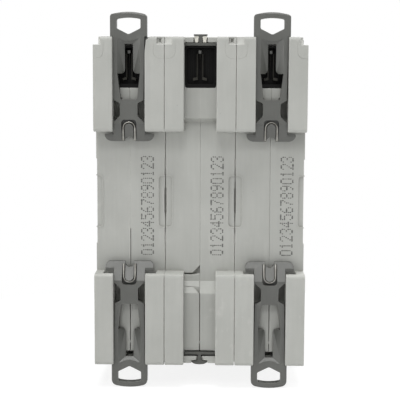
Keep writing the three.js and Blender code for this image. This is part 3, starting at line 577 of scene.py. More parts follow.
def combine(how, body, *others):  # UNION, DIFFERENCE or INTERSECT, one after the other
    base = shelve(body)
    tools = [shelve(other) for other in others]
    for tool in tools:
        step = base.modifiers.new(how, "BOOLEAN")
        step.operation = how
        step.solver = "EXACT"
        step.object = tool
    result = unshelve(base)
    for tool in tools:
        bpy.data.objects.remove(tool)
    return tidied(result)


def edgeRoom(edge):  # how wide a bevel may be before it meets what is beside the edge
    room = []
    runsOn = 0
    for vert in edge.verts:
        along = (edge.other_vert(vert).co - vert.co).normalized()
        ends = True
        for other in vert.link_edges:
            if other is edge:
                continue
            away = (other.other_vert(vert).co - vert.co).normalized()
            if away.dot(along) < -0.8:
                ends = False
            else:
                room.append(other.calc_length())
        runsOn += not ends
    if runsOn < 2:
        room.append(edge.calc_length())
    return 0.42 * min(room, default=0)


def knots(bm):  # where the outline of a face crosses itself
    laid = {}
    for corners in bm.calc_loop_triangles():
        a, b, c = (corner.vert.co for corner in corners)
        face = corners[0].face
        laid[face] = laid.get(face, 0) + (b - a).cross(c - a).length / 2
    spots = []
    for face, area in laid.items():
        if area - face.calc_area() < 0.01 * area + 0.004:
            continue
        flat = max(range(3), key=lambda axis: abs(face.normal[axis]))
        kept = [axis for axis in range(3) if axis != flat]
        path = [vert.co for vert in face.verts]
        flats = [Vector((co[kept[0]], co[kept[1]])) for co in path]
        count = len(path)
        for i in range(count):
            for j in range(i + 2, count - (i == 0)):
                ends = flats[i], flats[(i + 1) % count], flats[j], flats[(j + 1) % count]
                if intersect_line_line_2d(*ends):
                    spots += [path[i], path[(i + 1) % count], path[j], path[(j + 1) % count]]
    return [spot.copy() for spot in spots]


def rounding(bm, width, segments):
    holder = shelve(bm.copy())
    step = holder.modifiers.new("round", "BEVEL")
    step.width = width
    step.segments = segments
    step.limit_method = "WEIGHT"
    step.use_clamp_overlap = False
    step.miter_outer = "MITER_SHARP"
    result = unshelve(holder)
    bmesh.ops.remove_doubles(result, verts=result.verts, dist=1e-3)
    return result


# rounds the outer edges sharper than so many degrees, less where room is short
def soften(bm, width, wanted=None, segments=2, sharpest=28):
    layer = bm.edges.layers.float.new("bevel_weight_edge")
    for edge in bm.edges:
        if len(edge.link_faces) != 2 or edge.calc_face_angle_signed() < math.radians(sharpest):
            continue
        share = wanted((edge.verts[0].co + edge.verts[1].co) / 2) if wanted else 1
        share = min(share, edgeRoom(edge) / width)
        edge[layer] = share if share * width > 0.015 else 0
    for ease in (0.5, 0.3, 0.0, None):
        result = rounding(bm, width, segments)
        spots = knots(result)
        if not spots or ease is None:
            break
        result.free()
        near = KDTree(len(spots))
        for i, spot in enumerate(spots):
            near.insert(spot, i)
        near.balance()
        for edge in bm.edges:
            away = min(near.find(vert.co)[2] for vert in edge.verts)
            if away < 1.5 * width + 0.05:
                edge[layer] *= ease
    bm.free()
    return result


def place(name, bm, *mats):  # a finished shape becomes an object in metres
    bm.transform(Matrix.Scale(mm, 4))
    holder = shelve(bm, name)
    for mat in mats:
        holder.data.materials.append(mat)
    return holder


def flatten(mesh):  # keeps the shading of large flat faces flat where small rounded ones meet them
    turns = [Vector(item.vector) for item in mesh.corner_normals]
    bm = bmesh.new()
    bm.from_mesh(mesh)
    areas = [face.calc_area() / mm ** 2 for face in bm.faces]
    for face in bm.faces:
        area = areas[face.index]
        sides = [
            other for edge in face.edges if edge.smooth for other in edge.link_faces
            if other is not face and 0.01 < face.normal.angle(other.normal, 0) < 0.45
        ]
        if area > 0.25 and not any(areas[other.index] > area / 4 for other in sides):
            for corner in face.loops:
                turns[corner.index] = face.normal.copy()
    bm.free()
    mesh.normals_split_custom_set([turn.normalized() for turn in turns])


# a piece's shading, its body and the nodes it stands for; the slot argument is not used
def seat(piece, body, slot, *replaced, smooth=38):
    piece.data.shade_smooth()
    piece.data.set_sharp_from_angle(angle=math.radians(smooth))
    step = piece.modifiers.new("normals", "WEIGHTED_NORMAL")
    step.keep_sharp = True
    mesh = meshOf(piece)
    piece.modifiers.clear()
    flatten(mesh)
    piece.data = mesh
    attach(piece, body)
    if replaced:
        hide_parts(*replaced)


# a copy of a shape as a piece that stands for one node
def fit(name, shape, node, *mats, smooth=38, **shift):
    slot = slotOf[node]
    piece = place(name, moved(shape.copy(), **shift), *(mats or [finishes[slot]]))
    seat(piece, bodyOf[node], slot, node, smooth=smooth)


def merged(name):  # a node's triangles as one closed shape, in millimetres
    bm = bmesh.new()
    bm.from_mesh(nodes[name].data)
    bm.transform(Matrix.Scale(1 / mm, 4))
    return tidied(bm, flat=0.5)


def softCopy(name, width, segments=2):
    fit(name + "Skin", soften(merged(name), width, segments=segments), name)


# Geometry Nodes trees for what repeats or follows a path


socketKinds = {float: "Float", int: "Int", tuple: "Vector", type(None): "Object"}


def growTree(name, **inputs):  # with its inputs' names and first values
    tree = bpy.data.node_groups.new(name, "GeometryNodeTree")
    kinds = [(label, socketKinds[type(value)]) for label, value in inputs.items()]
    for label, kind in [("Geometry", "Geometry"), *kinds, ("Finish", "Material")]:
        socket = tree.interface.new_socket(label, in_out="INPUT", socket_type="NodeSocket" + kind)
        if inputs.get(label) is not None:
            socket.default_value = inputs[label]
    tree.interface.new_socket("Geometry", in_out="OUTPUT", socket_type="NodeSocketGeometry")
    return tree, put(tree, "NodeGroupInput").outputs


def closeTree(tree, given, geometry):  # every tree ends in real geometry with its material
    real = put(tree, "GeometryNodeRealizeInstances", {0: geometry})
    feeds = {"Geometry": real, "Material": given["Finish"]}
    put(tree, "NodeGroupOutput", {0: put(tree, "GeometryNodeSetMaterial", feeds)})
    return tree


def swept(tree, given, path, radius, sides):  # a round tube along a curve
    ring = put(tree, "GeometryNodeCurvePrimitiveCircle", {"Resolution": sides, "Radius": radius})
    tube = put(tree, "GeometryNodeCurveToMesh", {0: path, 1: ring, "Fill Caps": True})
    return closeTree(tree, given, tube)


def repeated(tree, given, spots, **feeds):  # the thing on every spot
    thing = put(tree, "GeometryNodeObjectInfo", {"Object": given["Thing"]}).outputs["Geometry"]
    feeds = {"Points": spots, "Instance": thing, **feeds}
    return closeTree(tree, given, put(tree, "GeometryNodeInstanceOnPoints", feeds))


def tubeTree():  # a round tube along the path that comes in
    tree, given = growTree("tubeAlongPath", Radius=0.001, Sides=16)
    path = put(tree, "GeometryNodeMeshToCurve", {0: given["Geometry"]})
    return swept(tree, given, path, given["Radius"], given["Sides"])


def windingTree():  # turns of round wire about Z
    tree, given = growTree("winding", Radius=0.004, Wire=0.0008, Turns=8.0, Height=0.01, Steps=28)
    path = put(tree, "GeometryNodeCurveSpiral", {
        "Resolution": given["Steps"], "Rotations": given["Turns"], "Height": given["Height"],
        "Start Radius": given["Radius"], "End Radius": given["Radius"],
    })
    return swept(tree, given, path, given["Wire"], 10)


def rowTree():  # copies of one thing in an even row
    tree, given = growTree("evenRow", Thing=None, Count=5, Start=(0, 0, 0), Step=(0, 0.001, 0))
    feeds = {"Count": given["Count"], "Start Location": given["Start"], "Offset": given["Step"]}
    return repeated(tree, given, put(tree, "GeometryNodeMeshLine", feeds))


def scatterTree():  # copies of one thing on the points that come in, each of its own size
    tree, given = growTree("scatterOnPoints", Thing=None, Least=0.8, Most=1.1, Seed=7)
    feeds = {2: given["Least"], 3: given["Most"], "Seed": given["Seed"]}  # 2 and 3 take floats
    size = put(tree, "FunctionNodeRandomValue", feeds, data_type="FLOAT").outputs[1]
    return repeated(tree, given, given["Geometry"], Scale=size)


def ringTree():  # copies of one thing around Z, all facing outwards
    tree, given = growTree("evenRing", Thing=None, Count=24, Radius=0.003)
    feeds = {"Vertices": given["Count"], "Radius": given["Radius"]}
    spots, here = put(tree, "GeometryNodeMeshCircle", feeds), put(tree, "GeometryNodeInputPosition")
    outwards = put(tree, "FunctionNodeAlignRotationToVector", {"Vector": here}, axis="X")
    return repeated(tree, given, spots, Rotation=outwards)


tubeAlong, winding, evenRow, evenRing = tubeTree(), windingTree(), rowTree(), ringTree()
scatter = scatterTree()


def grow(name, tree, values, finish, base=None):  # what a tree makes, kept as a plain mesh
    holder = linked(name, base or bpy.data.meshes.new(name))
    step = holder.modifiers.new("grow", "NODES")
    step.node_group = tree
    values = {**values, "Finish": finish}
    for item in tree.interface.items_tree:
        if item.in_out == "INPUT" and item.name in values:
            step[item.identifier] = values[item.name]
    mesh = meshOf(holder)
    holder.modifiers.clear()
    holder.data = mesh
    return holder


def grown(tree, values, finish, thing=None, base=None):  # the same as a shape in millimetres
    if thing:
        values = {**values, "Thing": place("thing", thing, finish)}
    shape = unshelve(grow("grown", tree, values, finish, base))
    if thing:
        bpy.data.objects.remove(values["Thing"])
    shape.transform(Matrix.Scale(1 / mm, 4))
    return shape


def metres(spot):
    return tuple(v * mm for v in spot)


def grownRow(thing, count, start, step, finish):
    values = {"Count": count, "Start": metres(start), "Step": metres(step)}
    return grown(evenRow, values, finish, thing)


def grownTube(path, radius, finish, sides=16):
    links = [(i, i + 1) for i in range(len(path) - 1)]
    mesh = meshFrom("path", [metres(spot) for spot in path], links)
    return grown(tubeAlong, {"Radius": radius * mm, "Sides": sides}, finish, base=mesh)


def grownWinding(radius, wire, turns, height, steps, finish):
    values = {"Radius": radius * mm, "Wire": wire * mm, "Height": height * mm}
    return grown(winding, {**values, "Turns": turns, "Steps": steps}, finish)


def gathered(*parts):  # (shape, material index) pairs as one shape
    whole = bmesh.new()
    for shape, index in parts:
        for face in shape.faces:
            face.material_index = index
        mesh = bpy.data.meshes.new("part")
        shape.to_mesh(mesh)
        shape.free()
        whole.from_mesh(mesh)
        bpy.data.meshes.remove(mesh)
    return whole


poles = (1, 2, 3)
poleX = {pole: sum(corner.x for corner in boxOf(f"pole{pole}_vent")) / 2 for pole in poles}
caseLow, caseHigh = boxOf("pole2_case_left")
bodyEnd = caseHigh.z
rearFace = caseHigh.y
noseFace = caseLow.y
halfPole = poleX[2] - caseLow.x
print("tools ready, pole centres", {pole: round(x, 2) for pole, x in poleX.items()})


# the case: each half shell is the node's own shape with rounded edges and finer cuts

caseLook = {
    "edge": 0.24, "seam": 0.14, "ledgeEdge": 0.5, "rampEdge": 0.03, "rampSpan": (17, 29),
    # edges so far in from the nose and the outer sides, and behind these levels, stay sharp
    "inside": {"nose": 1.5, "side": 1.5, "rear": -1.65, "end": 39.8},
    "recessEdge": 17.9, "channelHalf": 4.0, "channelFloor": 2.0,
    "wellRadius": 3.62, "wellDepth": (-45, -40.05), "wireRadius": 4.22,
    "wireAxis": -26.3, "wireSpan": (39.6, 42.5),
    "notchLevel": 39.25, "notchOutside": 1.15, "notchDeep": -9.0, "notchWide": 1.85,
    "notchBack": 3.9, "notchFloor": 5.5, "notchRim": 5.85, "notchWall": 0.5, "notchLedge": 0.46,
    "notchPit": (0.7, 1.25), "notchPitFloor": 5.05, "notchSlope": (5.55, 4.75),
    "frameHalf": 2.6, "frameLow": 35.9, "frameRound": 1.9, "frameLine": 0.1, "frameDepth": 0.065,
    "closed": 0.085, "closedDeep": -5.0, "closedSunk": 0.22,
    "bowReach": 10.8, "bow": 0.24, "bowDeep": -1.7,
    "pocketWidth": 1.6, "pocketHalf": 6.5, "pocketDepth": 0.35,
    "ridge": 0.24, "ridgeHigh": 0.11, "ridgeRound": 0.9,
    "neckPocket": (2.0, 3.98), "neckStart": 19.5, "neckEnd": 26.1, "neckDeep": -1.2,
    "upperRamp": (20.2, 21.1), "rampStart": -20.5, "rampEnd": -23.4, "rampBlock": (-21, -15.2),
    "rampStep": (0.95, -21.72, -21.92, -23.3),
    "slit": (-18.82, -18.47), "wedge": (1.84, 1.97), "slitDeep": -1.2,
    "ventHalf": 3.9, "ventStart": 28.7, "ventEnd": 39.3, "ventRound": 0.65, "ventDeep": -1.3,
    "keySeat": (2.08, 2.9), "keySeatEnd": -40.3, "keyWall": 2.985,
    "keyPlate": (0.68, 4.1), "keyPlateSpan": (-39.8, -39.45), "keyLine": (-38.5, -38.18),
    "seamSlot": 0.11, "seamDepth": 0.9, "seamSpan": (-38.3, -36.3), "seamLong": (-35.7, -21.4),
    "seamRear": (-17, -7), "endSlot": 0.95, "endSlotSpan": (-39.7, -38.4),
    "labelHalf": 5.4, "labelStart": 12.4, "labelEnd": 20.2, "labelDepth": 0.25,
    "shoulder": -44, "noseHalf": 22.5, "panelInset": 2.6, "panelRound": 2.0, "panelDepth": 0.2,
    "pinMark": 1.6, "pinMarkDepth": 0.12,
    "pinMarks": ((-8, 0), (-52, 0), (-37, 28), (-37, -28), (-6, 24), (-6, -24)),
}


def sidePanel(look):  # the shallow field on the two outer sides
    inset, turn = look["panelInset"], look["panelRound"]
    shoulder, nose = look["shoulder"] + inset, noseFace + inset
    top, brow = bodyEnd - inset, look["noseHalf"] - inset
    half = [(-inset, top), (shoulder, top), (shoulder, brow), (nose, brow)]
    return rounded([(a, b, turn) for a, b in half] + [(a, -b, turn) for a, b in reversed(half)])


def pocketRidge(look):  # the thin raised line round the pocket at a seam
    wide, half, thick = look["pocketWidth"], look["pocketHalf"], look["ridge"]
    far, turn = halfPole + 3, look["ridgeRound"]

    def frame(grow):
        left, top = halfPole - wide - grow, half + grow
        return rounded([(left, -top, turn), (far, -top, 0), (far, top, 0), (left, top, turn)])

    ring = prism(frame(thick), -1, look["ridgeHigh"])
    ring = combine("DIFFERENCE", ring, prism(frame(0), -2, 1))
    return combine("DIFFERENCE", ring, block(halfPole, far + 1, -3, 2, -9, 9))


def caseAdds(pole, side, look):
    end, notch, back = halfPole + look["closed"], look["notchLevel"], look["notchBack"]
    floor, half, recess = look["channelFloor"], look["channelHalf"], look["recessEdge"]
    adds = []
    if side * (pole - 2) <= 0:  # faces that meet the next pole
        sunk = rearFace - look["closedSunk"]
        for rear, low, high in (
            (sunk, recess, notch - 0.2), (sunk, 1.1 - bodyEnd, -recess),
            (-look["closedSunk"], -recess, recess), (back, notch - 0.3, bodyEnd - 0.1),
        ):
            adds.append(block(halfPole - 0.3, end, look["closedDeep"], rear, low, high))
        # the notch is a shallow hole on one side of the seam, a slope on the other, over a ledge
        low, high, top = notch - 0.1, notch + look["notchLedge"], bodyEnd - 0.05
        wide, lipRear = halfPole - look["notchWide"], rearFace - 0.04
        lip, far = look["notchSlope"]
        ledge = [(back, low), (lipRear, low), (lipRear, notch + 0.02), (lip, high)]
        if side > 0:
            adds.append(prism(ledge + [(far, top), (back, top)], wide, end, "X"))
        else:
            rim = look["notchRim"]
            adds += [
                prism(ledge + [(back, high)], wide, end, "X"),
                block(wide, end, back, look["notchFloor"], low, top),
                block(wide, end, back, rim, bodyEnd - 0.32, top),
                block(halfPole - look["notchWall"], end, back, rim, low, top),
            ]
    wide, low, turn = look["ventHalf"] + 0.01, look["ventStart"] - 0.01, look["ventRound"]
    corner = bend((wide, low + turn), (wide, low), (wide - turn, low)) + [(wide, low)]
    adds.append(prism(corner, look["ventDeep"], floor))
    if pole == 2:
        wall, (foot, brow) = look["keyWall"], look["upperRamp"]
        ramp = [(-0.5, foot), (0, foot), (floor, brow), (floor, brow + 0.5), (-0.5, brow + 0.5)]
        adds += [
            block(*look["keySeat"], 1.8, wall, 0.02 - bodyEnd, look["keySeatEnd"]),
            block(*look["keyPlate"], 0.4, wall, *look["keyPlateSpan"]),
            prism(ramp, 0, half + 0.05, "X"),
        ]
        if side > 0:
            adds.append(block(0, half, look["ventDeep"], 0, *look["rampBlock"]))
    return adds


def caseCuts(pole, side, look):  # on the +X side of the pole's middle, as the CAD source draws it
    low, high = boxOf(f"pole{pole}_top_screw")
    screwZ = (low.z + high.z) / 2
    outside = side * (pole - 2) > 0
    floor, half = look["channelFloor"], look["channelHalf"]
    beyond, over = halfPole + 1, rearFace + 1
    cuts = []
    for end in (1, -1):
        label = sorted(end * look[key] for key in ("labelStart", "labelEnd"))
        entry = (end * z for z in look["wireSpan"])
        cuts += [
            prism(circle((0, end * screwZ), look["wellRadius"]), *look["wellDepth"]),
            prism(circle((0, look["wireAxis"]), look["wireRadius"]), *entry, "Z"),
            block(-1, look["labelHalf"], noseFace - 1, noseFace + look["labelDepth"], *label),
        ]
        if pole != 2:
            span = sorted(end * look[key] for key in ("neckStart", "neckEnd"))
            cuts.append(block(*look["neckPocket"], look["neckDeep"], floor + 0.5, *span))
    # the notch at the upper corner: open on the outer sides, with a pit on the -X sides
    notch, top = look["notchLevel"], bodyEnd + 1
    if outside:
        wide = halfPole - look["notchOutside"]
        cuts.append(block(wide, beyond, look["notchDeep"], over, notch, top))
    elif side < 0:
        near, far = (halfPole - x for x in look["notchPit"])
        cuts.append(block(far, near, look["notchPitFloor"], over, notch + 0.68, bodyEnd - 0.5))
    # the faint frame below the notch
    left, low, turn = halfPole - look["frameHalf"], look["frameLow"], look["frameRound"]
    path = [(left, notch + 0.3)] + bend((left, low + turn), (left, low), (left + turn, low))
    line = ribbon(path + [(halfPole + 0.5, low)], look["frameLine"])
    cuts.append(prism(line, rearFace - look["frameDepth"], over))
    if not outside:
        reach, bow, steps = look["bowReach"], look["bow"], 12
        bowed = [
            (halfPole + 0.1 - bow * math.cos(math.pi * i / (2 * steps)) ** 2, i * reach / steps)
            for i in range(-steps, steps + 1)
        ]
        cuts.append(prism([(beyond, -reach)] + bowed + [(beyond, reach)], look["bowDeep"], 1))
    pocket, tall = halfPole - look["pocketWidth"], look["pocketHalf"]
    cuts.append(block(pocket, beyond, -look["pocketDepth"], 1, -tall, tall))
    low = look["ventStart"] + look["ventRound"]
    cuts.append(block(half - 0.4, half, 0.6, floor + 0.5, low, look["ventEnd"]))
    slot, deep = look["seamSlot"], look["seamDepth"]
    low, high = look["seamLong"]
    for span in (look["seamSpan"], (low, look["rampEnd"] if pole == 2 else high)):
        cuts.append(block(-1, slot, floor - deep, 3, *span))
    if pole == 3:
        cuts.append(block(-1, slot * 0.8, -deep, 1, *look["seamRear"]))
    if pole != 2:
        cuts.append(block(-1, look["endSlot"], -1.2, 3, *look["endSlotSpan"]))
    else:
        cuts.append(block(-1, half - 0.03, 0.5, 3.5, *look["keyLine"]))
        above, (foot, brow) = floor + 1, look["upperRamp"]
        ramp = [(0, foot - 2), (0, foot), (floor, brow), (above, brow), (above, foot - 2)]
        cuts.append(prism(ramp, -1, half, "X"))
        start, end = look["rampStart"], look["rampEnd"]
        ramp = [(0, start), (floor, end), (above, end)]
        if side > 0:  # broken by the step that the slit's wedge stands on
            step, begin, turn, end = look["rampStep"]
            ramp = [(0, start), (step, begin), (step, turn), (floor, end), (above, end)]
        cuts.append(prism([(0, start + 2.6)] + ramp + [(above, start + 2.6)], -1, half, "X"))
        if side > 0:
            (low, high), (near, rise) = look["slit"], look["wedge"]
            tip = [(near, high), (0, high + rise), (-0.1, high + rise), (-0.1, high)]
            wedge = [(half, high)] + tip + [(near * 0.8, low), (half, low)]
            cuts.append(prism(wedge, look["slitDeep"], 1))
            cuts.append(prism([(1.75, begin), (-0.1, begin), (-0.1, end - 0.45)], step, 3))
    if outside:
        depth, mark = halfPole - look["panelDepth"], look["pinMark"]
        cuts.append(prism(sidePanel(look), depth, beyond, "X"))
        for spot in look["pinMarks"]:
            cuts.append(prism(circle(spot, mark, 40), depth - look["pinMarkDepth"], beyond, "X"))
    return cuts


def dressCase(look):
    ridge = pocketRidge(look)
    (low, high), inner = look["rampSpan"], look["inside"]
    for pole in poles:
        for side, word in ((-1, "left"), (1, "right")):
            name = f"pole{pole}_case_{word}"
            shape = moved(merged(name), x=-poleX[pole])
            if side < 0:
                mirrored(shape)
            shape = combine("UNION", shape, *caseAdds(pole, side, look))
            shape = combine("DIFFERENCE", shape, *caseCuts(pole, side, look))
            shape = combine("UNION", shape, ridge.copy())

            def wanted(spot):
                atRear = spot.y > rearFace - 0.1
                if spot.z > bodyEnd - 0.05 and atRear:
                    return 1
                if spot.z < 0.05 - bodyEnd and abs(spot.x - look["channelHalf"]) < 0.05:
                    return 1
                if abs(spot.z + look["recessEdge"]) < 0.1 and atRear:
                    return 0.8
                if pole == 2 and spot.x < 0.2 and low < spot.z < high:
                    return look["rampEdge"] / look["ledgeEdge"]
                atSeam = spot.x < 0.2 or spot.x > halfPole - 0.3
                behind = noseFace + inner["nose"] < spot.y < inner["rear"]
                if behind and abs(spot.z) < inner["end"] and spot.x < halfPole - inner["side"]:
                    return 0
                return look["seam" if atSeam else "edge"] / look["ledgeEdge"]

            shape = soften(shape, look["ledgeEdge"], wanted)
            widest = halfPole + (0 if side * (pole - 2) > 0 else look["closed"])
            for vert in shape.verts:
                vert.co.x = min(vert.co.x, widest)
            if side < 0:
                mirrored(shape)
            fit(f"pole{pole}{word.title()}Shell", shape, name, x=poleX[pole])
    ridge.free()


dressCase(caseLook)
print("case halves dressed")


earLook = {
    "near": 0.48, "foot": 39.9, "head": 41.48, "wide": 1.66, "narrow": 1.4, "lean": 0.1,
    "front": 2.0, "rear": 2.8,
}


def keyEars(look):  # the pale lugs of the case beside the upper key's stem
    foot, top, near, narrow = pick(look, "foot head near narrow")
    outline = [(near + look["lean"], foot)]
    outline += bend((narrow, foot), (narrow + 0.1, top - 0.4), (look["wide"], top), 5)
    ear = soften(prism(outline + [(near, top)], look["front"], look["rear"]), 0.1)
    ears = gathered((mirrored(ear.copy()), 0), (ear, 0))
    seat(place("keyEars", ears, finishes["lug"]), "case", "case")


keyEars(earLook)


# rail clips: one shape, used four times, the lower two with a longer foot

clipLook = {
    "faceHalf": 3.9, "loopHalf": 4.56, "neckHalf": 2.2, "footHalf": 6.15, "footRound": (1.9, 1.6),
    "rear": 4.4, "front": 2.3, "frontStart": 18.4, "footRear": 2.4, "footFront": 1.25,
    "footStart": 15.35, "footEnd": 17.2, "footLip": 0.68, "slopeEnd": 19.75,
    "neckStart": 20.05, "neckEnd": 25.5, "shoulderHalf": 2.8,
    "windowStart": 25.75, "windowEnd": 32.2, "windowHalf": 2.08, "windowRound": 0.5,
    "stemHalf": 1.0, "stemFlare": 0.9, "flareRise": 1.1, "stemEnd": 39.5,
    "panHalf": 2.85, "panEnd": 41.0, "panFloor": 2.72, "panBrow": 3.55, "panArch": (44.25, 4.05),
    "shoulder": 41.3, "loopEnd": 47.3, "loopCrown": 0.7, "loopRound": 0.75, "lowerLoopRound": 1.5,
    "holeApex": 41.9, "holeHalf": 2.95, "holeShoulder": 43.3, "holeEnd": 45.93,
    "holeCrown": 0.35, "holeRound": 0.4,
    "grooveHalf": 1.88, "grooveEnd": 20.8, "grooveRound": 0.85, "grooveFloor": 2.65,
    "tongueHalf": 1.08, "tongueMiddle": 18.75, "tongueEnd": 15.35,
    "chamfer": 0.42, "stripEdge": 0.25, "smallEdge": 0.1, "smooth": 20,
    "wireRadius": 0.24, "wireHalf": 1.46, "wireMiddle": 18.72, "wireStart": 15.6,
    "wireLevels": (3.05, 3.72, 3.82),
    "lean": {1: 0.0, 3: 0.08},  # sideways in their slots
    "lowerFoot": {"footStart": 15.05, "footEnd": 17.55, "footLip": 0.9, "footRound": (1.3, 1.4)},
}


def crowned(half, end, crown, corner, steps=10):  # from the side to the middle of an arched end
    big = (half * half + crown * crown) / (2 * crown)
    rise = math.sqrt((big - corner) ** 2 - (half - corner) ** 2)
    lean = math.degrees(math.atan2(rise, half - corner))
    side = arc((half - corner, end - big + rise), corner, 0, lean, steps)
    return side + arc((0, end - big), big, lean, 90, steps)[1:]


def clipStrip(look, corner):  # the long flat piece with its foot and pull loop
    face, loop, neck, foot, shoulder = pick(look, "faceHalf loopHalf neckHalf footHalf shoulder")
    rear, front, low, high, end = pick(look, "rear front neckStart neckEnd loopEnd")
    footRear, footFront, start, footEnd = pick(look, "footRear footFront footStart footEnd")
    plan = [(face, start), (face, shoulder), (loop, shoulder)]
    plan += crowned(loop, end, look["loopCrown"], corner)
    profile = [
        (footFront, start), (footRear, start), (rear, look["slopeEnd"]), (rear, end + 1),
        (front, end + 1), (front, look["frontStart"]), (footFront, footEnd - 0.12),
    ]
    strip = combine("INTERSECT", prism(bothSides(plan), 0, 6), prism(profile, -6, 6, "X"))
    wide, tall = look["footRound"]
    lip = footEnd - look["footLip"]
    lipRear = footRear + (rear - footRear) * (lip - start) / (look["slopeEnd"] - start)
    sunk = 0.02  # keeps the foot's faces out of the strip's own planes
    under, over = footFront + sunk, lipRear - sunk
    profile = [
        (under, start + sunk), (footRear - sunk, start + sunk), (over, lip), (over, footEnd),
        (under, footEnd),
    ]
    plan = [(foot, footEnd + 0.4)] + [
        (foot - wide * (1 - x), start + tall * (1 + z)) for x, z in arc((0, 0), 1, 0, -90, 10)
    ]
    plan = bothSides(plan + [(0, start)])
    feet = combine("INTERSECT", prism(plan, 0, 6), prism(profile, -8, 8, "X"))
    waist = rounded([
        (face + 1, low - 1, 0), (neck, low + 1.7, 0.9), (neck, high - 0.65, 0.5),
        (face + 1, high + 0.8, 0),
    ])
    waists = [prism([(side * x, z) for x, z in waist], -1, 6) for side in (1, -1)]
    strip = combine("DIFFERENCE", strip, *waists)
    web = block(-loop, loop, front - 0.02, front + 0.9, high, shoulder)
    return combine("UNION", strip, feet, web)


def railClip(look, corner):
    body = clipStrip(look, corner)
    stem, wide, stemEnd, windowEnd = pick(look, "stemHalf shoulderHalf stemEnd windowEnd")
    near, start, turn = pick(look, "windowHalf windowStart windowRound")
    window = bend((near - turn, start), (near, start), (near + 0.06 * turn, start + turn), 5)
    window += [(wide, windowEnd)]
    flared, rise = (stem + look["stemFlare"], windowEnd), windowEnd + look["flareRise"]
    window += bend(flared, (stem + 0.1, windowEnd + 0.1), (stem, rise), 10) + [(stem, stemEnd)]
    rear, pan, panEnd, panFloor, brow = pick(look, "rear panHalf panEnd panFloor panBrow")
    panStart = windowEnd - 0.3
    rim = [(pan + 0.3, rear + 0.25, panStart), (pan + 0.3, rear + 0.25, panEnd + 0.2)]
    bed = [(stem, panFloor, panStart), (stem, brow, stemEnd)]
    panShape = hull([
        (side * x, y, z) for part in (rim, bed) for side in (1, -1) for x, y, z in part
    ])
    archMiddle, archRadius = look["panArch"]
    arch = prism(circle((0, archMiddle), archRadius, 72), -1, 6)
    panShape = combine("DIFFERENCE", panShape, arch)
    half, brow = look["holeHalf"], look["holeShoulder"]
    hole = [(0.2, look["holeApex"]), (half - 0.15, brow - 0.1), (half, brow + 0.15)]
    hole += crowned(half, look["holeEnd"], look["holeCrown"], look["holeRound"], 6)
    side, top, turn, tongue = pick(look, "grooveHalf grooveEnd grooveRound tongueHalf")
    groove = [(side, 14)] + arc((side - turn, top - turn), turn, 0, 90, 8)
    groove += arc((turn - side, top - turn), turn, 90, 180, 8) + [(-side, 14), (-tongue, 14)]
    groove += arc((0, look["tongueMiddle"]), tongue, 180, 0, 16) + [(tongue, 14)]
    body = combine(
        "DIFFERENCE", body, prism(bothSides(window), -1, 6), panShape,
        prism(bothSides(hole), -1, 6), prism(groove, look["grooveFloor"], 6),
        prism(circle((0, look["tongueEnd"]), tongue + 0.07, 32), -1, 6),
    )
    face, shoulder, neckEnd, chamfer = pick(look, "faceHalf shoulder neckEnd chamfer")

    def wanted(spot):
        outer = abs(spot.x) > face + 0.2 or spot.z > look["holeEnd"] + 0.3
        if spot.z > shoulder - 0.1 and outer:
            return 1 if spot.z > shoulder + 0.05 else 0
        if abs(abs(spot.x) - face) < 0.1 and spot.z > neckEnd:
            return look["stripEdge"] / chamfer
        return look["smallEdge"] / chamfer

    return soften(body, chamfer, wanted)


def clipWire(look):
    half, middle, start = pick(look, "wireHalf wireMiddle wireStart")
    low, mid, high = look["wireLevels"]
    path = [(half, low, start), (half, low + 0.12, start + 0.6)]
    for x, z in arc((0, middle), half, 0, 180, 24):
        path.append((x, mid + (high - mid) * (z - middle) / half, z))
    path += [(-half, y, z) for x, y, z in path[1::-1]]
    return grownTube(path, look["wireRadius"], finishes["steel"])


def dressClips(look):
    wire = clipWire(look)
    upper = railClip(look, look["loopRound"])
    lower = railClip({**look, **look["lowerFoot"]}, look["lowerLoopRound"])
    for end, clip, turn in (("top", upper, Matrix()), ("bottom", lower, turned(180, "Y"))):
        for pole in (1, 3):
            shift = {"x": poleX[pole] + look["lean"][pole], "turn": turn}
            smooth = look["smooth"]
            fit(f"{end}Clip{pole}", clip, f"{end}_clip_{pole}", smooth=smooth, **shift)
            fit(f"{end}ClipWire{pole}", wire, f"{end}_clip_wire_{pole}", smooth=60, **shift)


dressClips(clipLook)
print("clips and their wires made")


# black vents with the forked rib

ventLook = {
    "half": 3.98, "start": 28.7, "end": 39.1, "rear": 1.7, "deep": 6.5, "wall": 0.5, "sill": 0.95,
    "cornerRound": 0.65, "hollow": 3.0, "lean": 0.18, "legX": 0.67, "legHalf": 0.2, "legSink": 0.7,
    "toeLevel": 31.05, "toeLength": 1.1, "toeHalf": 0.34, "toeLean": 14,
    "blade": (33.4, 37.7), "bladeHalf": 0.13, "cap": (37.2, 38.15), "capHalf": 0.36, "capSink": 0.1,
    "ribs": 3, "ribPitch": 0.62, "ribThick": 0.2, "ribDeep": 0.35,
    # the legs and toes take paler copies of the black plastic as painted highlights, the cap the
    # grey clip plastic as a painted glint
    "finishes": ("vent_black", "ventFork", "ventToe", "clip"),  # of the cup, legs, toes and cap
}


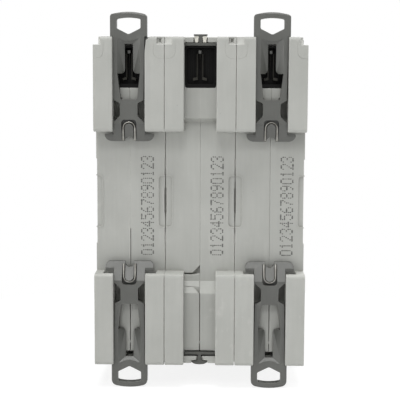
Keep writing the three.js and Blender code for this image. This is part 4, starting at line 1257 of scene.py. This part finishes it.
def vent(look):
    half, low, high, rear, wall = pick(look, "half start end rear wall")
    turn, floor, lean = look["cornerRound"], rear - look["hollow"], look["lean"]
    root = floor - 0.1  # where what stands on the floor begins

    def bowl(half, low, high, turn, brow):
        corners = [(-half, low, turn), (half, low, turn), (half, high, brow), (-half, high, brow)]
        return rounded(corners)

    foot, brow = low + look["sill"], high - wall
    cup = prism(bowl(half, low, high, turn, 0.2), rear - look["deep"], rear)
    hollow = prism(bowl(half - wall, foot, brow, turn, 0.3), floor, rear + 1)
    parts = [(soften(combine("DIFFERENCE", cup, hollow), 0.06), 0)]
    leg, thick, level, toeHalf = pick(look, "legX legHalf toeLevel toeHalf")
    legRear, (capLow, capHigh) = rear - look["legSink"], look["cap"]
    for side in (1, -1):
        bar = soften(block(leg - thick, leg + thick, root, legRear, level - 0.1, capLow), 0.06)
        toe = block(-0.1, look["toeLength"], root, legRear + 0.5, -toeHalf, toeHalf)
        toe = moved(soften(toe, 0.12), x=leg, z=level, turn=turned(look["toeLean"], "Y"))
        # legs (1) and toes (2) get the paler painted-highlight plastics
        for shape, index in ((bar, 1), (toe, 2)):
            parts.append((moved(shape if side > 0 else mirrored(shape), x=lean), index))
    bladeLow, bladeHigh = look["blade"]
    blade = [(root, bladeLow), (floor + 0.15, bladeLow), (legRear, bladeHigh), (root, bladeHigh)]
    capRear = rear - look["capSink"]
    cap = [(root, capLow), (capRear, capLow), (capRear, capHigh - 0.2), (capRear - 0.2, capHigh)]
    cap += [(root, capHigh)]
    # the blade (1) gets the painted-highlight plastic, the cap (3) the grey clip plastic as a
    # painted glint
    for outline, half, edge, index in (
        (blade, look["bladeHalf"], 0.05, 1), (cap, look["capHalf"], 0.08, 3)
    ):
        parts.append((moved(soften(prism(outline, -half, half, "X"), edge), x=lean), index))
    ribHalf, pitch = look["ribThick"] / 2, look["ribPitch"]
    for side in (1, -1):
        rib = block(-ribHalf, ribHalf, root, floor + look["ribDeep"], foot + 0.2, brow - 0.2)
        start, step = (side * (leg + pitch), 0, 0), (side * pitch, 0, 0)
        parts.append((grownRow(rib, look["ribs"], start, step, finishes["vent_black"]), 0))
    return gathered(*parts)


ventShape = vent(ventLook)
ventMats = [finishes[name] for name in ventLook["finishes"]]
for pole in poles:
    fit(f"vent{pole}", ventShape, f"pole{pole}_vent", *ventMats, x=poleX[pole])
print("vents made")


# the keys in the ends of the middle channels

keyLook = {
    "rear": 2.9, "front": 0.5, "stemFront": 2.3, "stemHalf": 0.43, "plateHalf": 3.95,
    "topPlate": (39.12, 39.86), "topHead": (41.5, 41.93), "topHeadHalf": 1.72,
    "bottomPlate": (-39.05, -38.44), "bottomHead": (-41.62, -40.8), "bottomHeadHalf": 2.02,
}


def keys(look):
    stem, rear, front, mid, plate = pick(look, "stemHalf rear front stemFront plateHalf")
    half, (foot, brow) = look["topHeadHalf"], look["topHead"]
    neck = (stem, foot - 0.35)
    tee = [(stem, look["topPlate"][1] - 0.2)] + bend(neck, (stem, foot), (stem + 0.5, foot), 5)
    tee += [(half - 0.3, foot), (half, foot + 0.12), (half, brow - 0.05), (half - 0.1, brow)]
    tee += [(0, brow)]
    half, (low, high) = look["bottomHeadHalf"], look["bottomHead"]
    neck = (stem, high + 0.35)
    cap = [(stem, look["bottomPlate"][0] + 0.2)]
    cap += bend(neck, (stem + 0.15, high + 0.1), (half, high - 0.1), 6)
    cap += bend((half, high - 0.18), (half * 0.7, low), (0, low), 10)
    for outline, name, near in ((tee, "top", front), (cap, "bottom", front + 0.3)):
        shape = block(-plate, plate, near, rear, *look[name + "Plate"])
        shape = combine("UNION", shape, prism(bothSides(outline), mid, rear))
        fit(name + "Key", soften(shape, 0.09), f"{name}_channel_key", finishes["key"])


keys(keyLook)
print("keys made")


# toggles and the bar that ties them

toggleLook = {
    "axis": -50.0, "rest": 35.0, "radius": 9.7, "half": 4.0, "reach": 19.5,
    "root": 2.3, "rootStart": 4, "tip": 1.6, "tipRound": 1.4, "leverInset": 0.3,
    "pinRadius": 2.5, "pinEnd": 7.05, "barRadius": 1.2, "barReach": 14.6, "barHalf": 22.1,
    "ridges": 4, "ridgePitch": 0.75, "ridgeStart": -18.4, "ridge": 0.3,
    "mark": 1.3, "markLine": 0.42, "markLean": 26,
}


def toggleShape(look):
    half, reach, tip, root, near = pick(look, "half reach tip root rootStart")
    inset, turn, pinEnd, barReach = pick(look, "leverInset tipRound pinEnd barReach")
    side = half - inset
    drum = prism(circle((0, 0), look["radius"], 96), -half, half, "X")
    lever = [(-near, -root, 0), (-reach, -tip, turn), (-reach, tip, turn), (-near, root, 0)]
    pin = prism(circle((0, 0), look["pinRadius"], 32), -pinEnd, pinEnd, "X")
    body = combine("UNION", drum, prism(rounded(lever), -side, side, "X"), pin)
    bore = circle((-barReach, 0), look["barRadius"] + 0.15, 32)
    body = combine("DIFFERENCE", body, prism(bore, -half - 1, half + 1, "X"))
    parts = [(soften(body, 0.35, segments=3), 0)]
    slope = math.atan2(root - tip, reach - near)
    first, pitch, count = pick(look, "ridgeStart ridgePitch ridges")
    for up in (1, -1):
        rib = block(0.5 - side, side - 0.5, -0.16, 0.16, -0.3, look["ridge"] * 0.55)
        rib = moved(soften(rib, 0.12), turn=Matrix.Rotation(-up * slope, 4, "X"))
        if up < 0:
            mirrored(rib, x=1, z=-1)
        start = (0, first, up * (tip + math.tan(slope) * (reach + first)))
        step = (0, pitch, up * math.tan(slope) * pitch)
        parts.append((grownRow(rib, count, start, step, finishes["toggle"]), 0))
    size, skin, line = look["mark"], -look["radius"], look["markLine"]
    stroke = block(-0.22, 0.22, skin - 0.03, skin + 0.3, -size, size)
    ring = prism(circle((0, 0), size, 40), skin - 0.03, skin + 0.3)
    ring = combine("DIFFERENCE", ring, prism(circle((0, 0), size - line, 40), skin - 1, skin + 1))
    for mark, lean in ((stroke, look["markLean"]), (ring, -look["markLean"])):
        parts.append((moved(mark, turn=turned(lean, "X")), 1))
    return gathered(*parts)


def dressToggles(look):
    shape, mats = toggleShape(look), (finishes["toggle"], whiteInk)
    shift = {"y": look["axis"], "turn": turned(look["rest"], "X")}
    for pole in poles:
        fit(f"toggle{pole}", shape, f"pole{pole}_toggle", *mats, x=poleX[pole], **shift)
    half, radius = look["barHalf"], look["barRadius"]
    end = [(0, -half), (radius - 0.3, -half), (radius, 0.3 - half)]
    bar = moved(lathe(end + [(r, -x) for r, x in end[::-1]], "X"), y=-look["barReach"])
    fit("tieBar", bar, "toggle_tie_bar", **shift)


dressToggles(toggleLook)
print("toggles made")


# terminal screws

screwLook = {
    "head": 3.3, "headThick": 2.4, "rim": 0.4, "shank": 2.12, "thread": 0.26, "pitch": 0.8,
    "length": 11.4, "slot": 0.5, "slotDepth": 1.2, "cross": 2.1, "taper": 0.75,
    "knurls": 30, "knurl": (-0.14, 0.06, -0.1, 0.1),
}


def screwShape(look):  # along +Y from the top of its head at 0
    head, thick, rim, shank, reach = pick(look, "head headThick rim shank length")
    profile = [(0, 0)] + bend((head - rim, 0), (head, 0), (head, rim), 4)
    profile += [(head, thick - 0.1), (head - 0.1, thick), (shank, thick)]
    profile += [(shank, reach - 0.6), (shank - 0.6, reach), (0, reach)]
    half, deep, cross, taper = pick(look, "slot slotDepth cross taper")
    cutters = []
    for spanX, spanZ in ((head + 1, half), (half, cross)):
        flats = ((-1.0, 1, 1), (deep, taper if spanX == half else 1, taper if spanZ == half else 1))
        cutters.append(hull([
            (sx * spanX * atX, y, sz * spanZ * atZ)
            for sx in (1, -1) for sz in (1, -1) for y, atX, atZ in flats
        ]))
    body = combine("DIFFERENCE", lathe(profile, "Y", 64), *cutters)
    turns = (reach - thick - 0.9) / look["pitch"]
    rise, zinc = turns * look["pitch"], finishes["zinc_steel"]
    thread = grownWinding(shank + 0.02, look["thread"], turns, rise, 28, zinc)
    thread = moved(thread, y=thick + 0.4, turn=turned(-90, "X"))
    knurl = block(*look["knurl"], 0.5, thick - 0.3)
    values = {"Count": look["knurls"], "Radius": (head - 0.06) * mm}
    ribs = moved(grown(evenRing, values, zinc, knurl), turn=turned(-90, "X"))
    return gathered((body, 0), (thread, 0), (ribs, 0))


def dressScrews(look):
    shape = screwShape(look)
    for pole in poles:
        for end in ("top", "bottom"):
            name = f"pole{pole}_{end}_screw"
            low, high = boxOf(name)
            shift = {"x": poleX[pole], "y": low.y, "z": (low.z + high.z) / 2}
            fit(f"{end}Screw{pole}", shape, name, **shift)
            softCopy(f"pole{pole}_{end}_clamp", 0.45, 3)


dressScrews(screwLook)
print("screws and clamps made")


# rivets: one turned shape on the four axes

rivetLook = {
    "shank": 1.6, "head": 2.7, "headThick": 0.6, "dimple": 1.15, "dimpleDepth": 0.45, "end": 26.35,
}


def dressRivets(look):
    end, head, thick, shank, dimple = pick(look, "end head headThick shank dimple")
    floor = end - look["dimpleDepth"]
    half = [(0, floor), (dimple - 0.2, floor), (dimple, end - 0.08)]
    half += bend((dimple + 0.1, end), (head, end), (head, end - thick + 0.12))
    half += [(head, end - thick), (shank, end - thick)]
    rivet = lathe(half + [(r, -x) for r, x in reversed(half)], "X")
    thing = place("rivetThing", rivet, finishes["zinc_steel"])
    names = [f"rivet_{i}" for i in (1, 2, 3, 4)]
    middles = [tuple(sum(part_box(name), Vector()) / 2) for name in names]
    values = {"Thing": thing, "Least": 1.0, "Most": 1.0}
    spots = meshFrom("rivetSpots", middles)
    rivets = grow("rivets", scatter, values, finishes["zinc_steel"], base=spots)
    bpy.data.objects.remove(thing)
    seat(rivets, "case", "zinc_steel", *names)


dressRivets(rivetLook)


# what is inside each pole

coilLook = {
    "axis": -24.0, "start": 5.0, "end": 23.9, "flange": 1.2, "half": 7.05, "front": -29.6,
    "rear": -18.1, "core": 3.85, "bore": 3.2, "pinBore": 1.2, "radius": 4.75, "wire": 0.8,
    "steps": 36,
}


def coilShape(look):
    low, high, flange, half, axis = pick(look, "start end flange half axis")
    front, rear, radius, wire, bore = pick(look, "front rear radius wire bore")
    plate = rounded([(-half, front, 1), (half, front, 1), (half, rear, 1), (-half, rear, 1)])
    core = prism(circle((0, axis), look["core"], 48), low + 0.1, high - 0.1, "Z")
    ends = [prism(plate, z, z + flange, "Z") for z in (low, high - flange)]
    body = combine("UNION", ends[0], core, ends[1])
    wide = prism(circle((0, axis), bore, 48), low + flange, high + 1, "Z")
    narrow = prism(circle((0, axis), look["pinBore"], 32), low - 1, high, "Z")
    body = soften(combine("DIFFERENCE", body, wide, narrow), 0.2)
    room = high - low - 2 * flange - 2 * wire
    turns = math.floor(room / (2.05 * wire))
    wound = grownWinding(radius, wire, turns, room, look["steps"], finishes["copper"])
    return gathered((body, 1), (moved(wound, y=axis, z=low + flange + wire), 0))


chuteLook = {
    "half": 7.05, "cheek": 0.7, "base": 6.0, "top": 27.0, "front": -15.5, "rear": -1.9,
    "plates": 9, "thick": 0.55,
}


def chuteShape(look):
    half, cheek, base, top, thick = pick(look, "half cheek base top thick")
    front, rear = look["front"], look["rear"]
    cheeks = [
        soften(block(low, low + cheek, front, rear, base + 2.5, top), 0.12)
        for low in (half - cheek, -half)
    ]
    wide, mouth = half - cheek / 2, half - cheek * 2
    outline = [(-wide, top - 0.4), (-wide, base + 3), (-wide + 0.9, base)]
    outline += bend((-mouth / 2, base), (0, base + mouth), (mouth / 2, base), 12)
    outline += [(wide - 0.9, base), (wide, base + 3), (wide, top - 0.4)]
    plate = soften(prism(outline, 0, thick), 0.08)
    step = (rear - front - thick) / (look["plates"] - 1)
    start, steel = (0, front, 0), finishes["chute_plates"]
    row = grownRow(plate, look["plates"], start, (0, step, 0), steel)
    return gathered((row, 0), *((shape, 1) for shape in cheeks))


insideEdges = {"line_strap": 0.2, "load_strap": 0.2, "contact_arm": 0.3, "plunger": 0.3}


def dressInside():
    inner = (
        (coilShape(coilLook), "coil", "coil", "copper"),
        (chuteShape(chuteLook), "arcChute", "arc_chute", "chute_plates"),
    )
    for pole in poles:
        for shape, word, node, slot in inner:
            mats = finishes[slot], fibre
            fit(f"{word}{pole}", shape, f"pole{pole}_{node}", *mats, x=poleX[pole])
        for part, width in insideEdges.items():
            softCopy(f"pole{pole}_{part}", width)
    softCopy("trip_bar", 0.3)


dressInside()
print("inside dressed")


# printed strip of plain counting digits on each pole's back

digitDots = {
    "0": ".###. #...# #...# #...# #...# #...# .###.",
    "1": "..#.. .##.. ..#.. ..#.. ..#.. ..#.. .###.",
    "2": ".###. #...# ....# ...#. ..#.. .#... #####",
    "3": ".###. #...# ....# ..##. ....# #...# .###.",
    "4": "...#. ..##. .#.#. #..#. ##### ...#. ...#.",
    "5": "##### #.... ####. ....# ....# #...# .###.",
    "6": "..##. .#... #.... ####. #...# #...# .###.",
    "7": "##### ....# ...#. ..#.. ..#.. .#... .#...",
    "8": ".###. #...# #...# .###. #...# #...# .###.",
    "9": ".###. #...# #...# .#### ....# ...#. .##..",
}
stripLook = {
    "text": "01234567890123", "start": -13.7, "end": 12.0, "base": -5.75, "top": -2.8,
    "dot": 0.17, "wide": 1.35, "thick": 0.03, "level": 0.005, "seed": 11,
}


def digitStrip(look):  # reads upwards, the digits' tops towards +X
    text, base, start, thick = pick(look, "text base start thick")
    across = (look["top"] - base) / 6
    pitch = (look["end"] - start) / len(text)
    along = pitch / 6.2
    spots = [
        metres((poleX[pole] + base + (6 - row) * across, look["level"],
                start + i * pitch + column * along))
        for pole in poles for i, letter in enumerate(text)
        for row, line in enumerate(digitDots[letter].split())
        for column, mark in enumerate(line) if mark == "#"
    ]
    dot = prism(circle((0, 0), look["dot"], 8), -thick / 2, thick / 2)
    dot.transform(Matrix.Diagonal((look["wide"], 1, 1, 1)))
    thing = place("dotThing", dot, ink)
    values = {"Thing": thing, "Least": 0.75, "Most": 1.1, "Seed": look["seed"]}
    strip = grow("countingDigits", scatter, values, ink, base=meshFrom("dotSpots", spots))
    bpy.data.objects.remove(thing)
    seat(strip, "case", "vent_black")


digitStrip(stripLook)
print("digits printed")
